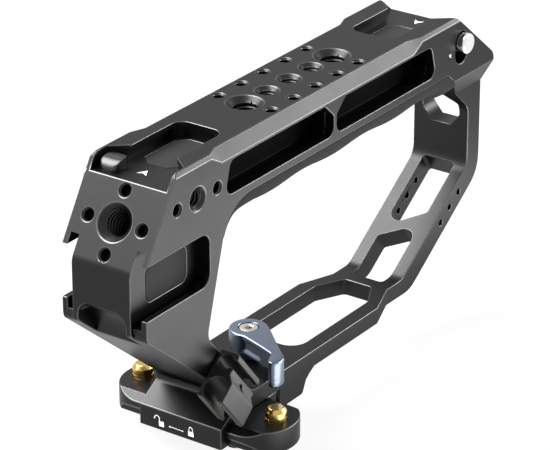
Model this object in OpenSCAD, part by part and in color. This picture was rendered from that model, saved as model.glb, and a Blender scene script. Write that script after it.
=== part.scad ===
// Camera top handle with a lever clamp and an oblong quick release plate.
// Frame: centre of the plate's underside, X right, Y to the rear, Z up, millimetres.

/* [Overall] */
// Full width of the handle body
handle_w = 31.7; // [26:0.1:38]
// Height of the top face over the plate's underside
top_z = 101.8; // [90:0.1:115]
// Distance from the plate's centre to the front panel
front_reach = 53.2; // [45:0.1:62]
// Distance from the plate's centre to the rear face
rear_reach = 143.2; // [130:0.1:160]
// Width of the slim parts, front panel and rear loop
core_w = 21.8; // [18:0.1:26]
// Straight pieces in each rounded outline corner
corner_steps = 7; // [3:1:12]

/* [Front head] */
// Front end of the flat top
face_top_y = -36; // [-42:0.1:-30]
// Lean of the slanted front face from the vertical, in degrees
face_lean = 31.8; // [20:0.1:45]
// Corner radius between slanted face and panel
panel_bend_r = 6; // [1:0.1:10]
// Corner radius at the front and rear ends of the top
top_end_r = 3.6; // [1:0.1:6]
// Height of the front threaded hole over the plate's underside
face_hole_z = 85.95; // [80:0.05:92]

/* [Rear head] */
// Rear end of the flat top
rear_top_y = 119.2; // [112:0.1:126]
// Height where the rear slanted face meets the rear face
rear_face_z = 82.06; // [76:0.1:90]
// Corner radius at that edge
rear_face_r = 4; // [1:0.1:8]
// Lowest height of the full width rear head
head_low_z = 79.6; // [74:0.1:84]
// Height where the head has slimmed down to the loop
head_slim_z = 71.1; // [66:0.1:76]

/* [Grip bar] */
// Height of the bar's underside at its sides
bar_under_z = 82.85; // [78:0.05:88]
// Corner radius from the column into the bar's underside
bar_arc_r = 15.5; // [6:0.1:20]
// Width of the rib that the grip pad is pressed on
rib_w = 25.6; // [18:0.1:28]
// Height of that rib
rib_h = 3.1; // [1:0.1:5]
// Half width of the flat top between the long bevels
bevel_top_x = 13; // [11:0.1:15]
// Height of the lower edge of the long bevels
bevel_low_z = 97.4; // [94:0.1:100]
// Front end of the long bevels
bevel_front_y = -13.3; // [-20:0.1:0]
// Rear end of the long bevels
bevel_rear_y = 92.4; // [80:0.1:110]
// Length of run-out for each millimetre of bevel depth
bevel_runout = 3.3; // [1:0.1:5]
// Depth of the small edge bevel on the heads
head_bevel = 0.8; // [0.2:0.1:2]

/* [Side pockets] */
// Thickness of the side walls at the pockets
pocket_wall = 3; // [1.5:0.1:5]
// Half width of the web between the pockets
web_half = 7; // [5:0.1:10]
// Height of the pockets' upper edge
pocket_top_z = 96.7; // [92:0.1:99]
// Height of the pockets' lower edge
pocket_low_z = 85.6; // [84:0.1:92]
// Drop of the hollow behind the wall
pocket_drop = 1.5; // [0:0.1:2.5]
// Front corner of the first pocket at its lower edge
pocket_front_y = -12; // [-16:0.1:0]
// Rear corner of the first pocket
pocket_mid_y = 46.3; // [30:0.1:60]
// Middle of the rib between the two pockets
pocket_rib_y = 47.1; // [31:0.1:61]
// Lean of the outer ends, measured along the bar
pocket_end_lean = 2.9; // [0:0.1:6]
// Length of the slanted inner upper corner
pocket_slant_l = 5.1; // [1:0.1:9]
// Height of the slanted inner upper corner
pocket_slant_h = 4.6; // [1:0.1:8]
// Corner radius of the pockets
pocket_r = 3; // [0.5:0.1:4]

/* [Shoes] */
// Height of the shoe floors
shoe_floor_z = 96.8; // [94:0.1:99]
// Thickness of the shoe lips
shoe_lip = 2; // [1.2:0.1:3]
// Half width of the opening between the lips
shoe_throat_half = 8.4; // [6:0.1:9]
// Half width under the lips
shoe_slot_half = 9.4; // [9.2:0.05:10]
// Closed end of the front shoe
shoe_end_y = -2.3; // [-10:0.1:5]
// Corner radius of the closed ends
shoe_end_r = 4; // [1:0.1:6]
// Where the lips stop
lip_end_y = -26; // [-34:0.1:-18]
// Length of the slanted lip ends
lip_slant_l = 4.8; // [1:0.1:8]
// Half width between the thin side walls in front of the lips
shoe_open_half = 14.2; // [12:0.1:15]
// Middle between the two shoes along the bar
shoe_mid_y = 44.1; // [30:0.1:60]
// Thickness of the shoe's rubber insert
shoe_pad_t = 0.8; // [0.4:0.1:1.5]
// Half width of the shoe's rubber insert
shoe_pad_half = 6.6; // [4:0.1:8]
// Length of the shoe's rubber insert
shoe_pad_l = 21.4; // [14:0.1:24]
// Gap between the insert and the closed end
shoe_pad_back = 1.4; // [0.5:0.1:4]
// Slanted corner of the insert
shoe_pad_corner = 3.2; // [0.5:0.1:5]

/* [Shoe locks] */
// Sideways place of each shoe pin
lock_x = 9.3; // [8:0.1:10]
// Place of the front pin along the bar
lock_y = -33.8; // [-38:0.1:-28]
// Radius of the pins
lock_r = 3.5; // [2:0.05:4]
// Height of the pin's tip
lock_top_z = 100.5; // [98:0.1:101.5]
// Height of the pin's lower end
lock_low_z = 88.2; // [86:0.1:92]
// Height of the floor under the spring
lock_seat_z = 82.6; // [81:0.1:84]
// Radius of the thumb knobs
knob_r = 3.5; // [2:0.05:4.5]
// Height of the knob's centre
knob_z = 92.5; // [90:0.1:94]
// How far the knobs stand out of the side
knob_out = 3.1; // [1:0.1:5]
// Radius of the knob's stem inside the pin
stem_r = 1.5; // [0.8:0.05:2.5]
// Downward travel of pin and knob
lock_travel = 3.7; // [1:0.1:4]
// Gap round the knob in its slot
knob_gap = 0.35; // [0.2:0.05:0.6]

/* [Column] */
// Lower end of the leg's front slope along the body
leg_foot_y = -4.63; // [-10:0.05:0]
// Height of that lower end
leg_foot_z = 13.74; // [11:0.05:18]
// Corner radius in that inner corner
leg_foot_r = 2.3; // [0.5:0.1:5]
// Height where the slope starts at the panel
leg_top_z = 54.2; // [48:0.1:60]
// Front of the full width fins beside the panel
fin_front_y = -51.9; // [-53:0.1:-48]
// Lower front corner radius of the fins
fin_r = 4; // [1:0.1:6]
// Rear edge of the column at its waist
waist_y = -21.52; // [-26:0.01:-16]
// Height of the waist
waist_z = 42.37; // [36:0.01:50]
// Corner radius at the waist
waist_r = 5; // [1:0.1:9]
// Where the column's rear edge would meet the bar's underside
column_top_y = -10.1; // [-16:0.1:-4]
// Where the leg's inner edge meets the base bar
leg_inner_y = 1.55; // [-4:0.05:8]
// Corner radius there
leg_inner_r = 6; // [1:0.1:12]

/* [Column pockets] */
// Lower edge of the outer opening
recess_low_z = 59.9; // [56:0.1:64]
// Upper edge of the outer opening
recess_high_z = 77.2; // [72:0.1:79]
// Rear wall of the opening
recess_back_y = -20.1; // [-26:0.1:-16]
// Rear corner radius
recess_r = 4; // [1:0.1:6]
// Thickness of the lips at the opening
recess_lip = 2.05; // [1:0.05:3]
// How far the hollow reaches behind the lips
recess_under = 3.3; // [0.5:0.1:4]
// Front edge of the rubber insert
insert_front_y = -45.5; // [-50:0.1:-40]
// Rear edge of the rubber insert
insert_back_y = -25.5; // [-30:0.1:-22]
// Lower edge of the rubber insert
insert_low_z = 62.1; // [58:0.1:66]
// Upper edge of the rubber insert
insert_high_z = 73.7; // [70:0.1:77]
// Corner radius of the rubber insert
insert_r = 2.5; // [0.5:0.1:4]
// Thickness of the rubber insert
insert_t = 0.8; // [0.3:0.1:1.5]
// Half width of the finger hollow in the panel
scoop_half = 9; // [5:0.1:10]
// Upper edge of the finger hollow
scoop_top_z = 61; // [57:0.1:66]
// Corner radius of the finger hollow
scoop_r = 5; // [1:0.1:8]
// Radius of the finger hollow's curved floor
scoop_floor_r = 15; // [8:0.1:25]
// Centre of that floor along the body
scoop_floor_y = -59.2; // [-70:0.1:-54]
// Centre height of that floor
scoop_floor_z = 47; // [40:0.1:54]

/* [Base bar] */
// Top of the base bar
base_top_z = 14.05; // [11:0.05:18]
// Underside of the base bar
base_low_z = 8.15; // [7.9:0.05:10]
// Where the base bar starts to narrow
base_taper_y = 73; // [60:0.1:80]
// Where the base bar has its slim width
base_slim_y = 86.2; // [80:0.1:92]
// Near end of the base slot
slot_near_y = 33.4; // [30:0.1:40]
// Half width of the base slot
slot_half = 10.4; // [6:0.1:12]
// Where the base slot starts to narrow
slot_taper_y = 75; // [60:0.1:80]
// Far end of the base slot
slot_far_y = 85.1; // [80:0.1:88]
// Half width of the slot's far end
slot_far_half = 5.3; // [3:0.1:8]
// Corner radius of the slot's near end
slot_near_r = 6; // [1:0.1:9]
// Corner radius of the slot's far end
slot_far_r = 2; // [0.5:0.1:4]

/* [Rear loop] */
// Inner face of the rear plate
rear_inner_y = 135.6; // [130:0.1:140]
// Rise of the slanted frame for each millimetre along the body
slope_rise = 0.686; // [0.4:0.001:1]
// Where the frame's upper face meets the base bar
slope_inner_y = 95.5; // [88:0.1:104]
// Where the frame's lower face meets the bar's underside
slope_outer_y = 100.8; // [94:0.1:110]
// Outer bend radius
bend_out_r = 11; // [4:0.1:16]
// Inner bend radius
bend_in_r = 6.5; // [2:0.1:10]
// Fall of the gusset for each millimetre along the body
gusset_fall = 0.9325; // [0.5:0.001:1.4]
// Where the gusset meets the bar's underside
gusset_top_y = 114.3; // [108:0.1:120]
// Half width of the windows
window_half = 6.2; // [4:0.1:8]
// Upper end of the upper window before the bend, along the slope
window_high_s = 0.5; // [-1:0.1:6]
// Diagonal brace: upper edge at the right side, along the slope
brace_high_s = 21.4; // [16:0.1:26]
// Diagonal brace: lower edge at the right side, along the slope
brace_low_s = 27; // [22:0.1:34]
// Upper edge of the brace at the left side, along the slope
brace_left_s = 30.7; // [24:0.1:34]
// Lower edge of the brace at the left side, along the slope
brace_left_low_s = 35; // [28:0.1:42]
// Rounded corner radius of the windows
window_r = 3.4; // [0.5:0.1:5]
// Sharp corner radius of the windows
window_small_r = 1.2; // [0.3:0.1:3]
// Near end of the lower window in the base bar
window_low_y = 90.2; // [87:0.1:95]
// Radius of the small cross holes
cross_r = 1.1; // [0.5:0.05:2]
// First cross hole along the body
cross_y = 130.6; // [126:0.1:134]
// Depth of the cross holes under the frame's upper face
cross_depth = 3.7; // [2:0.1:6]
// Spacing of the cross holes along the body
cross_step = 5.5; // [3:0.1:8]
// Half width of the opening in the rear plate
eye_half = 7.2; // [4:0.1:9]
// Half width of the opening's flat edges
eye_flat = 3.8; // [1:0.1:6]
// Lower edge of that opening
eye_low_z = 55.4; // [50:0.1:60]
// Upper edge of that opening
eye_high_z = 68; // [62:0.1:74]
// Height of the slanted corners of that opening
eye_corner_h = 4.1; // [1:0.1:6]

/* [Accessory holes] */
// First hole of the top row
row_y = 20.2; // [10:0.1:30]
// Spacing of the top row
row_step = 12; // [10:0.1:16]
// Spacing of each pair of locating holes
locate_spacing = 20; // [19:0.05:21]
// Wall radius of the large tapped holes
big_tap_r = 4.2; // [3.8:0.01:4.76]
// Wall radius of the small tapped holes
small_tap_r = 2.75; // [2.5:0.01:3.17]
// Wall radius of the locating holes
locate_r = 1.7; // [1:0.01:2.2]
// Mouth radius of the large tapped holes
big_mouth_r = 6.1; // [5:0.05:7]
// Mouth radius of the small tapped holes
small_mouth_r = 4.05; // [3.3:0.05:5]
// Mouth radius of the locating holes
locate_mouth_r = 2.35; // [1.8:0.05:3]
// Depth of the tapped holes
tap_depth = 11; // [6:0.1:14]
// Depth of the side tapped hole
side_tap_depth = 8; // [5:0.1:10]
// Depth of the locating holes
locate_depth = 3.6; // [2:0.1:4.4]
// Side tapped hole along the body
side_hole_y = -25.9; // [-30:0.1:-20]
// Height of the side tapped hole
side_hole_z = 90.15; // [86:0.05:94]

/* [Grip pad] */
// Height of the pad's lowest line
pad_low_z = 76.3; // [73:0.1:79]
// Depth of the waves along the pad
pad_wave = 1; // [0:0.1:2]
// Length of one wave
pad_wave_l = 34.5; // [20:0.5:50]
// Place of the first ridge
pad_wave_y = 14; // [0:0.5:30]
// Lower corner radius of the pad
pad_corner_r = 6; // [2:0.1:8]
// How far the rounding sinks under the pad's lowest line
pad_corner_sink = 0.25; // [0.1:0.05:0.6]
// Radius of the pad's inner corner at the column
pad_arc_r = 6; // [2:0.1:6.3]
// How far the pad stands out of the column's rear edge
pad_proud = 0.7; // [0.3:0.1:2]
// Height of the pad's front end
pad_front_z = 71.2; // [66:0.1:71.4]
// Drop of the pad's rear end bulge
pad_bulge = 1.7; // [0:0.1:3]
// Start of the rear end bulge
pad_bulge_y = 110; // [104:0.1:114]
// End of the rear end bulge
pad_end_y = 118.6; // [112:0.1:121]
// Fit between pad and metal
pad_fit = 0.05; // [0:0.01:0.2]

/* [Base plate] */
// Radius of the plate's round ends
plate_r = 13; // [10:0.1:16]
// Distance of the round ends' centres from the middle
plate_arc_x = 19.4; // [14:0.1:26]
// Thickness of the plate
plate_t = 7.8; // [6:0.1:10]
// Half width of the plate's flat top
plate_flat_y = 9.8; // [7:0.1:12]
// Height of the lower edge of the upper bevel
plate_edge_z = 5.95; // [5:0.05:7]
// Height of the upper edge of the lower bevel
plate_under_z = 4; // [3:0.05:5]
// Half width of the plate's underside
plate_under_y = 10.5; // [8:0.1:12]
// Height of the lower edge of the lower bevel
plate_foot_z = 1.5; // [0.5:0.05:2.5]
// Gap between jaw and plate
jaw_fit = 0.1; // [0.05:0.01:0.3]
// Spacing of the plate's two screws
screw_spacing = 20; // [16:0.1:30]
// Radius of the plate screws
screw_r = 3.1; // [2.5:0.01:3.17]
// Length of the screws under the plate
screw_out = 6.4; // [4:0.1:10]
// Radius of the necks that keep the screws in the plate
screw_neck_r = 2.7; // [2:0.05:3]
// Length of the necks that shows under the plate
screw_neck_out = 0.04; // [0.02:0.01:0.2]
// Radius of the screw heads
screw_head_r = 4.9; // [4:0.05:6]
// Height of the screw heads
screw_head_h = 3.2; // [2:0.1:5]

/* [Stop pins] */
// Distance of the stop pins from the middle
stop_x = 26; // [22:0.1:30]
// Radius of the stop pins
stop_r = 3.4; // [2:0.05:4]
// Height of the stop pin's top
stop_top_z = 12.3; // [10:0.1:14]
// Bevel at the stop pin's top
stop_bevel = 1.1; // [0.2:0.1:1.8]
// Radius of the stop pin's foot flange
stop_flange_r = 3.95; // [3.5:0.05:4.5]
// Height of the flange's underside
stop_low_z = 5.6; // [4:0.1:6.4]
// Height of the flange
stop_flange_h = 1; // [0.5:0.1:1.5]
// Downward travel of the stop pins
stop_travel = 4.2; // [1:0.1:4.3]
// Thickness of the press caps
cap_t = 1; // [0.6:0.1:1.3]
// Gap round the moving pins
pin_gap = 0.08; // [0.03:0.01:0.1]

/* [Clamp] */
// Front face of the fixed jaw
jaw_front_y = -15.3; // [-18:0.1:-14]
// Lower edge of the fixed jaw
jaw_low_z = 0.3; // [0.2:0.05:1]
// Height of the fixed jaw's front face
jaw_high_z = 7.5; // [5:0.1:9]
// Corner radius of the jaw's upright corners
jaw_corner_r = 2; // [0.5:0.1:4]
// Lower face of the rear block
block_low_z = 1; // [0.4:0.1:2]
// Rear end of the rear block's lower face
block_rear_y = 29; // [27:0.1:32]
// Front end of the clamp hollow
hollow_front_y = 14.4; // [13.5:0.1:16]
// Rear end of the clamp hollow
hollow_rear_y = 27.3; // [25:0.1:29]
// Half width of the clamp hollow
hollow_half = 11.6; // [9:0.1:13]
// Half width of the moving jaw behind its nose
slider_half = 11.3; // [8.5:0.1:12.7]
// Rear end of the moving jaw
slider_rear_y = 25.4; // [24:0.1:26]
// Lower face of the moving jaw
slider_low_z = 2.35; // [1.5:0.05:3]
// Upper face of the moving jaw
slider_high_z = 7.85; // [7:0.05:8]
// Half width of the moving jaw's nose
nose_half = 15.5; // [12:0.1:15.85]
// Rear face of the nose
nose_rear_y = 15.2; // [14:0.1:16]
// Gap behind the nose, more than the jaw's travel
nose_room = 1.7; // [1.5:0.1:3]
// Half width of the cam window
cam_window_half = 4.6; // [3:0.1:6]
// Radius of the guide pins
guide_r = 1; // [0.6:0.05:1.5]
// Distance of the guide pins from the middle
guide_x = 8.4; // [6:0.1:10]
// Thickness of the cover
cover_t = 1.1; // [0.6:0.1:1.3]
// Radius of the cover screws
cover_screw_r = 1; // [0.6:0.05:1.2]
// Head radius of the cover screws
cover_head_r = 1.7; // [1:0.05:2]
// Distance of the cover screws from the middle
cover_screw_x = 13.55; // [12:0.05:15]
// Half width of the cover
cover_half = 15.5; // [13:0.1:15.7]

/* [Lever] */
// Lever pivot along the body
pivot_y = 21.9; // [18:0.1:24]
// Radius of the lever's hub
hub_r = 5.9; // [4:0.1:8]
// Top of the lever
lever_top_z = 23.7; // [20:0.1:28]
// Underside of the lever's arm
lever_arm_z = 17.3; // [15:0.1:19]
// Underside of the hub and tip
lever_low_z = 14.8; // [14.3:0.1:16]
// Sideways reach of the lever's tip
tip_x = 22.5; // [18:0.1:26]
// Front end of the lever's tip
tip_y = 5.4; // [2:0.1:10]
// Width of the lever's tip
tip_w = 4.2; // [3:0.1:6]
// Sideways place of the inner corner between arm and tip
arm_inner_x = 16.6; // [12:0.1:18]
// Place of that inner corner along the body
arm_inner_y = 10.4; // [8:0.1:14]
// Radius of the lever's shaft
shaft_r = 2.5; // [1.9:0.05:2.6]
// Offset of the cam from the shaft
cam_offset = 0.9; // [0.3:0.05:1.2]
// Turn of the cam at rest, in degrees
cam_turn = -50; // [-80:1:0]
// Radius of the cam
cam_r = 3.2; // [2:0.05:4]
// Lower face of the cam
cam_low_z = 2.7; // [2:0.1:4]
// Upper face of the cam
cam_high_z = 7.4; // [6:0.1:8]
// Gap between the cam and its window
cam_gap = 0.3; // [0.1:0.05:0.5]
// Head radius of the lever screw
lever_screw_r = 3.15; // [2:0.05:4]
// Depth of the lever screw's head in the hub
lever_screw_h = 2.1; // [1:0.1:3]
// Radius of the screw's socket
socket_r = 1.45; // [0.8:0.05:2]
// Depth of the screw's socket
socket_h = 1.5; // [0.5:0.1:2]

/* [Cable clip] */
// Length of the clip
clip_l = 17; // [10:0.5:24]
// Turn of the clip in side view, in degrees
clip_turn = 39.3; // [20:0.1:60]
// Place of the lower channel along the body
clip_y = -24.9; // [-32:0.1:-16]
// Height of the lower channel's upper end
clip_z = 28.1; // [20:0.1:36]
// Width of the clip from the leg
clip_w = 9.6; // [6:0.1:13]
// Radius of the lower channel
clip_big_r = 3.9; // [2:0.05:5]
// Distance of the lower channel's axis from the leg
clip_big_x = 4.9; // [3:0.05:7]
// Radius of the upper channel
clip_small_r = 2.5; // [1.5:0.05:4]
// Distance of the upper channel's axis from the leg
clip_small_x = 3.7; // [2:0.05:6]
// Distance between the two channels
clip_step = 9; // [6:0.1:12]
// Opening of the lower channel
clip_big_gap = 5; // [2:0.1:7]
// Opening of the upper channel
clip_small_gap = 2.8; // [1:0.1:4]
// Wall of the clip
clip_wall = 1.3; // [0.8:0.05:2.5]
// Radius of the clip's screw
clip_screw_r = 0.6; // [0.4:0.05:0.8]
// Radius of the screw's head
clip_head_r = 0.95; // [0.7:0.05:1]
// Height of the screw's head
clip_head_h = 1; // [0.6:0.05:1.5]
// Distance of the head's seat from the leg
clip_head_x = 3; // [2:0.05:4]
// Depth of the screw in the leg
clip_screw_depth = 4.9; // [3:0.1:7]

/* [Shown part] */
// Which part is shown

/* [Hidden] */
$fn = 64;
half_w = handle_w / 2;
spring_wire_r = 0.25;
fin_sink = 0.2;
stop_roof = 1.4;
stop_hole_z = stop_top_z - stop_bevel - stop_roof;
core_half = core_w / 2;
lip_x = half_w - recess_lip;
over = 1;
far = 60;
cut_wide = 30;
cut_mid = 15;
cut_short = 12;
body_cut = 240;
seam = 0.01;
seat = 0.05;
straight_half_turn = 89.5;
wave_steps = 36;
coil_steps = 8;
coil_sides = 6;
lock_spring_turns = 5;
stop_spring_turns = 7;
jaw_under_lean = 1.73;
foot_l = 7.2;
foot_mid_l = 4.7;
foot_mid_drop = 1.35;
foot_low_l = 2.5;
foot_low_drop = 3;
foot_end_l = 1;
foot_end_h = 0.9;
leg_top_r = 1;
scoop_reach = 66;
window_cut = 18;
bore_dip = 2;
cover_screw_inset = 0.6;
cover_screw_end = 1.5;
rib_end_gap = 2;
pad_round_l = 3;
pad_corner_cut = 4;
pad_metal_l = 2.4;
spring_bore_wall = 0.9;
spring_wall_gap = 0.55;
stop_spring_wall = 1.6;
tip_lift = 0.3;
tip_lean = 0.2;
tip_inner_r = 0.7;
tip_outer_r = 1.2;
tip_end_r = 1;
washer_inset = 0.4;
nose_lift = 0.5;
guide_start = 3;
clip_edge_r = 0.6;
clip_round_r = 1.5;
screw_sink = 0.4;
face_foot_z = top_z - (front_reach + face_top_y) / tan(face_lean);
face_hole_y = face_top_y - (top_z - face_hole_z) * tan(face_lean);
gusset_foot_z = bar_under_z - gusset_fall * (rear_inner_y - gusset_top_y);
bend_in_z = base_top_z + slope_rise * (rear_inner_y - slope_inner_y);
bend_out_z = base_low_z + slope_rise * (rear_reach - slope_outer_y);
slope_turn = atan(slope_rise);
clip_screw_y = (clip_big_r + clip_step - clip_small_r) / 2;
jaw_reach = max(nose_half, slider_half);
pivot_rest = [cam_offset * cos(cam_turn), pivot_y + cam_offset * sin(cam_turn)];

// Rounded outlines: each entry is [first, second, corner radius].
function unit(v) = v / norm(v);
function cut_pair(p) = [p[0], p[1]];
function arc_points(c, r, a0, turn) =
    [for (i = [0 : corner_steps]) let (a = a0 + turn * i / corner_steps) c + r * [cos(a), sin(a)]];
function wrapped(a) = a > 180 ? a - 360 : a < -180 ? a + 360 : a;
function corner(a, p, b, r) =
    let (u = unit(a - p), v = unit(b - p), h = acos(max(-1, min(1, u * v))) / 2)
    r <= 0 || h > straight_half_turn ? [p] :
    let (c = p + unit(u + v) * r / sin(h), s = p + u * r / tan(h) - c, e = p + v * r / tan(h) - c,
         a0 = atan2(s[1], s[0]), a1 = atan2(e[1], e[0]))
    arc_points(c, r, a0, wrapped(a1 - a0));
function rounded(q) = let (n = len(q)) [for (i = [0 : n - 1])
    each corner(cut_pair(q[(i + n - 1) % n]), cut_pair(q[i]), cut_pair(q[(i + 1) % n]), q[i][2])];

// Side view outline (Y, Z) made into a solid across the body.
module across(x0, x1) {
    translate([x0, 0, 0]) rotate([90, 0, 90]) linear_extrude(x1 - x0) children();
}

// Cross view outline (X, Z) made into a solid along the body.
module along(y0, y1) {
    translate([0, y1, 0]) rotate([90, 0, 0]) linear_extrude(y1 - y0) children();
}

module both_sides() {
    children();
    mirror([1, 0, 0]) children();
}

// The rear shoe is the front shoe turned half round.
module at_rear() {
    translate([0, shoe_mid_y * 2, 0]) rotate([0, 0, 180]) children();
}

module blind_hole(r, mouth_r, depth) {
    lead = mouth_r - r;
    translate([0, 0, -depth]) cylinder(r = r, h = depth + over);
    translate([0, 0, -lead]) cylinder(r1 = r, r2 = mouth_r + seam, h = lead + seam);
}

module jaw_side() {
    under_y = plate_flat_y + jaw_fit * 2 - (base_low_z - plate_t) * jaw_under_lean;
    polygon([[under_y, base_low_z + seam], [plate_r + jaw_fit, plate_edge_z + jaw_fit],
             [plate_r + jaw_fit, plate_under_z - jaw_fit / 2],
             [plate_under_y + jaw_fit, plate_foot_z - jaw_fit / 2], [plate_under_y + jaw_fit, -over],
             [0, -over], [0, base_low_z + seam]]);
}

module body_outline() {
    polygon(rounded([
        [jaw_front_y, jaw_low_z, 0], [jaw_front_y, jaw_high_z, 0], [leg_foot_y, leg_foot_z, leg_foot_r],
        [-front_reach, leg_top_z, leg_top_r], [-front_reach, face_foot_z, panel_bend_r],
        [face_top_y, top_z, top_end_r], [rear_top_y, top_z, top_end_r],
        [rear_reach, rear_face_z, rear_face_r], [rear_reach, bend_out_z, bend_out_r],
        [slope_outer_y, base_low_z, bend_out_r], [block_rear_y + foot_l, base_low_z, 0],
        [block_rear_y + foot_mid_l, base_low_z - foot_mid_drop, 0],
        [block_rear_y + foot_low_l, base_low_z - foot_low_drop, 0],
        [block_rear_y + foot_end_l, block_low_z + foot_end_h, 0], [block_rear_y, block_low_z, 0],
        [hollow_front_y, block_low_z, 0], [hollow_front_y, base_low_z, 0], [0, base_low_z, 0],
        [0, jaw_low_z, 0]]));
}

module hand_gap() {
    polygon(rounded([
        [leg_inner_y, base_top_z, leg_inner_r], [waist_y, waist_z, waist_r],
        [column_top_y, bar_under_z, bar_arc_r], [gusset_top_y, bar_under_z, pocket_r],
        [rear_inner_y, gusset_foot_z, bend_in_r],
        [rear_inner_y, bend_in_z, bend_in_r], [slope_inner_y, base_top_z, bend_in_r]]));
}

module pocket_outline(drop, grow) {
    polygon(rounded([
        [pocket_front_y + pocket_end_lean - grow, pocket_top_z, pocket_r],
        [pocket_mid_y - pocket_slant_l, pocket_top_z, pocket_r / 2],
        [pocket_mid_y, pocket_top_z - pocket_slant_h, pocket_r / 2],
        [pocket_mid_y, pocket_low_z - drop, pocket_r],
        [pocket_front_y - grow, pocket_low_z - drop, pocket_r]]));
}

module side_pockets() {
    both_sides() {
        across(half_w - pocket_wall, half_w + over) pocket_outline(0, 0);
        across(web_half, half_w - pocket_wall + seam) pocket_outline(pocket_drop, 0);
        translate([0, pocket_rib_y * 2, 0]) mirror([0, 1, 0]) {
            across(half_w - pocket_wall, half_w + over) pocket_outline(0, 0);
            across(web_half, half_w - pocket_wall + seam) pocket_outline(pocket_drop, 0);
        }
    }
}

module shoe_cut() {
    lip_foot_y = lip_end_y - lip_slant_l;
    translate([0, 0, shoe_floor_z]) linear_extrude(top_z - shoe_floor_z + over) polygon(rounded([
        [-shoe_throat_half, shoe_end_y, shoe_end_r], [-shoe_throat_half, lip_end_y, 0],
        [-shoe_open_half, lip_foot_y, 0], [-shoe_open_half, -far, 0], [shoe_open_half, -far, 0],
        [shoe_open_half, lip_foot_y, 0], [shoe_throat_half, lip_end_y, 0],
        [shoe_throat_half, shoe_end_y, shoe_end_r]]));
    translate([0, 0, shoe_floor_z]) linear_extrude(top_z - shoe_floor_z - shoe_lip) polygon(rounded([
        [-shoe_slot_half, shoe_end_y, shoe_end_r], [-shoe_slot_half, lip_foot_y, 0],
        [shoe_slot_half, lip_foot_y, 0], [shoe_slot_half, shoe_end_y, shoe_end_r]]));
    translate([0, 0, shoe_floor_z - shoe_pad_t]) linear_extrude(shoe_pad_t + over) shoe_pad_outline(pad_fit);
}

module shoe_pad_outline(grow) {
    back_y = shoe_end_y - shoe_pad_back;
    front_y = back_y - shoe_pad_l;
    polygon([
        [-shoe_pad_half - grow, back_y - shoe_pad_corner + grow],
        [-shoe_pad_half + shoe_pad_corner, back_y + grow], [shoe_pad_half - shoe_pad_corner, back_y + grow],
        [shoe_pad_half + grow, back_y - shoe_pad_corner + grow],
        [shoe_pad_half + grow, front_y + shoe_pad_corner - grow],
        [shoe_pad_half - shoe_pad_corner, front_y - grow],
        [-shoe_pad_half + shoe_pad_corner, front_y - grow],
        [-shoe_pad_half - grow, front_y + shoe_pad_corner - grow]]);
}

module lock_cut() {
    translate([-lock_x, lock_y, lock_seat_z])
        cylinder(r = lock_r + pin_gap, h = shoe_floor_z - lock_seat_z + over);
    slot_low = knob_z - lock_travel;
    translate([-half_w - over, lock_y, 0]) rotate([90, 0, 90]) linear_extrude(half_w + over - lock_x) {
        translate([0, knob_z]) circle(r = knob_r + knob_gap);
        translate([0, slot_low]) circle(r = knob_r + knob_gap);
        translate([-knob_r - knob_gap, slot_low]) square([(knob_r + knob_gap) * 2, lock_travel]);
    }
}

module top_row() {
    for (i = [0 : 4]) translate([0, row_y + row_step * i, top_z]) {
        if (i == 0 || i == 4) blind_hole(big_tap_r, big_mouth_r, tap_depth);
        else blind_hole(small_tap_r, small_mouth_r, tap_depth);
        both_sides() translate([locate_spacing / 2, 0, 0]) blind_hole(locate_r, locate_mouth_r, locate_depth);
    }
}

module face_holes() {
    translate([0, face_hole_y, face_hole_z]) rotate([90 - face_lean, 0, 0]) {
        blind_hole(big_tap_r, big_mouth_r, tap_depth);
        for (a = [0 : 90 : 270]) rotate([0, 0, a]) translate([locate_spacing / 2, 0, 0])
            blind_hole(locate_r, locate_mouth_r, locate_depth);
    }
}

module side_holes() {
    translate([half_w, side_hole_y, side_hole_z]) rotate([0, 90, 0]) {
        blind_hole(small_tap_r, small_mouth_r, side_tap_depth);
        both_y() translate([0, locate_spacing / 2, 0]) blind_hole(locate_r, locate_mouth_r, locate_depth);
    }
}

module both_y() {
    children();
    mirror([0, 1, 0]) children();
}

module top_bevels() {
    drop = top_z - bevel_low_z;
    in = half_w - bevel_top_x;
    deep = drop * in / norm([drop, in]);
    out = deep * bevel_runout;
    both_sides() translate([half_w, 0, top_z]) rotate([0, atan(drop / in), 0]) {
        rotate([90, 0, 90]) linear_extrude(cut_wide, center = true) polygon([
            [bevel_front_y, -deep], [bevel_rear_y, -deep], [bevel_rear_y + out, 0],
            [bevel_rear_y + out, cut_wide], [bevel_front_y - out, cut_wide], [bevel_front_y - out, 0]]);
        translate([-cut_mid, -far, -head_bevel]) cube([cut_wide, body_cut, cut_mid]);
    }
}

module slim_cuts() {
    // a little under the slope, so that the rounding crosses it at an angle
    fin_corner = corner([fin_front_y, far], [fin_front_y, fin_low_z() - fin_sink],
                        [0, leg_line_z(0) - fin_sink], fin_r);
    both_sides() {
        translate([0, 0, -over]) linear_extrude(head_slim_z + over) polygon([
            [half_w, base_taper_y], [core_half, base_slim_y], [core_half, rear_reach + over],
            [half_w + over, rear_reach + over], [half_w + over, base_taper_y]]);
        along(gusset_top_y - over, rear_reach + over) polygon([
            [core_half, head_slim_z - seam], [half_w, head_low_z], [half_w + over, head_low_z],
            [half_w + over, head_slim_z - seam]]);
        across(core_half, half_w + over) polygon(concat(
            [[-front_reach - over, recess_low_z + over], [fin_front_y, recess_low_z + over]], fin_corner,
            [fin_corner[corner_steps] - [fin_r, fin_r], [-front_reach - over, fin_low_z() - fin_r * 2]]));
    }
}

function leg_line_z(y) =
    leg_foot_z + (y - leg_foot_y) * (leg_top_z - leg_foot_z) / (-front_reach - leg_foot_y);
function fin_low_z() = leg_line_z(fin_front_y);

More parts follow.
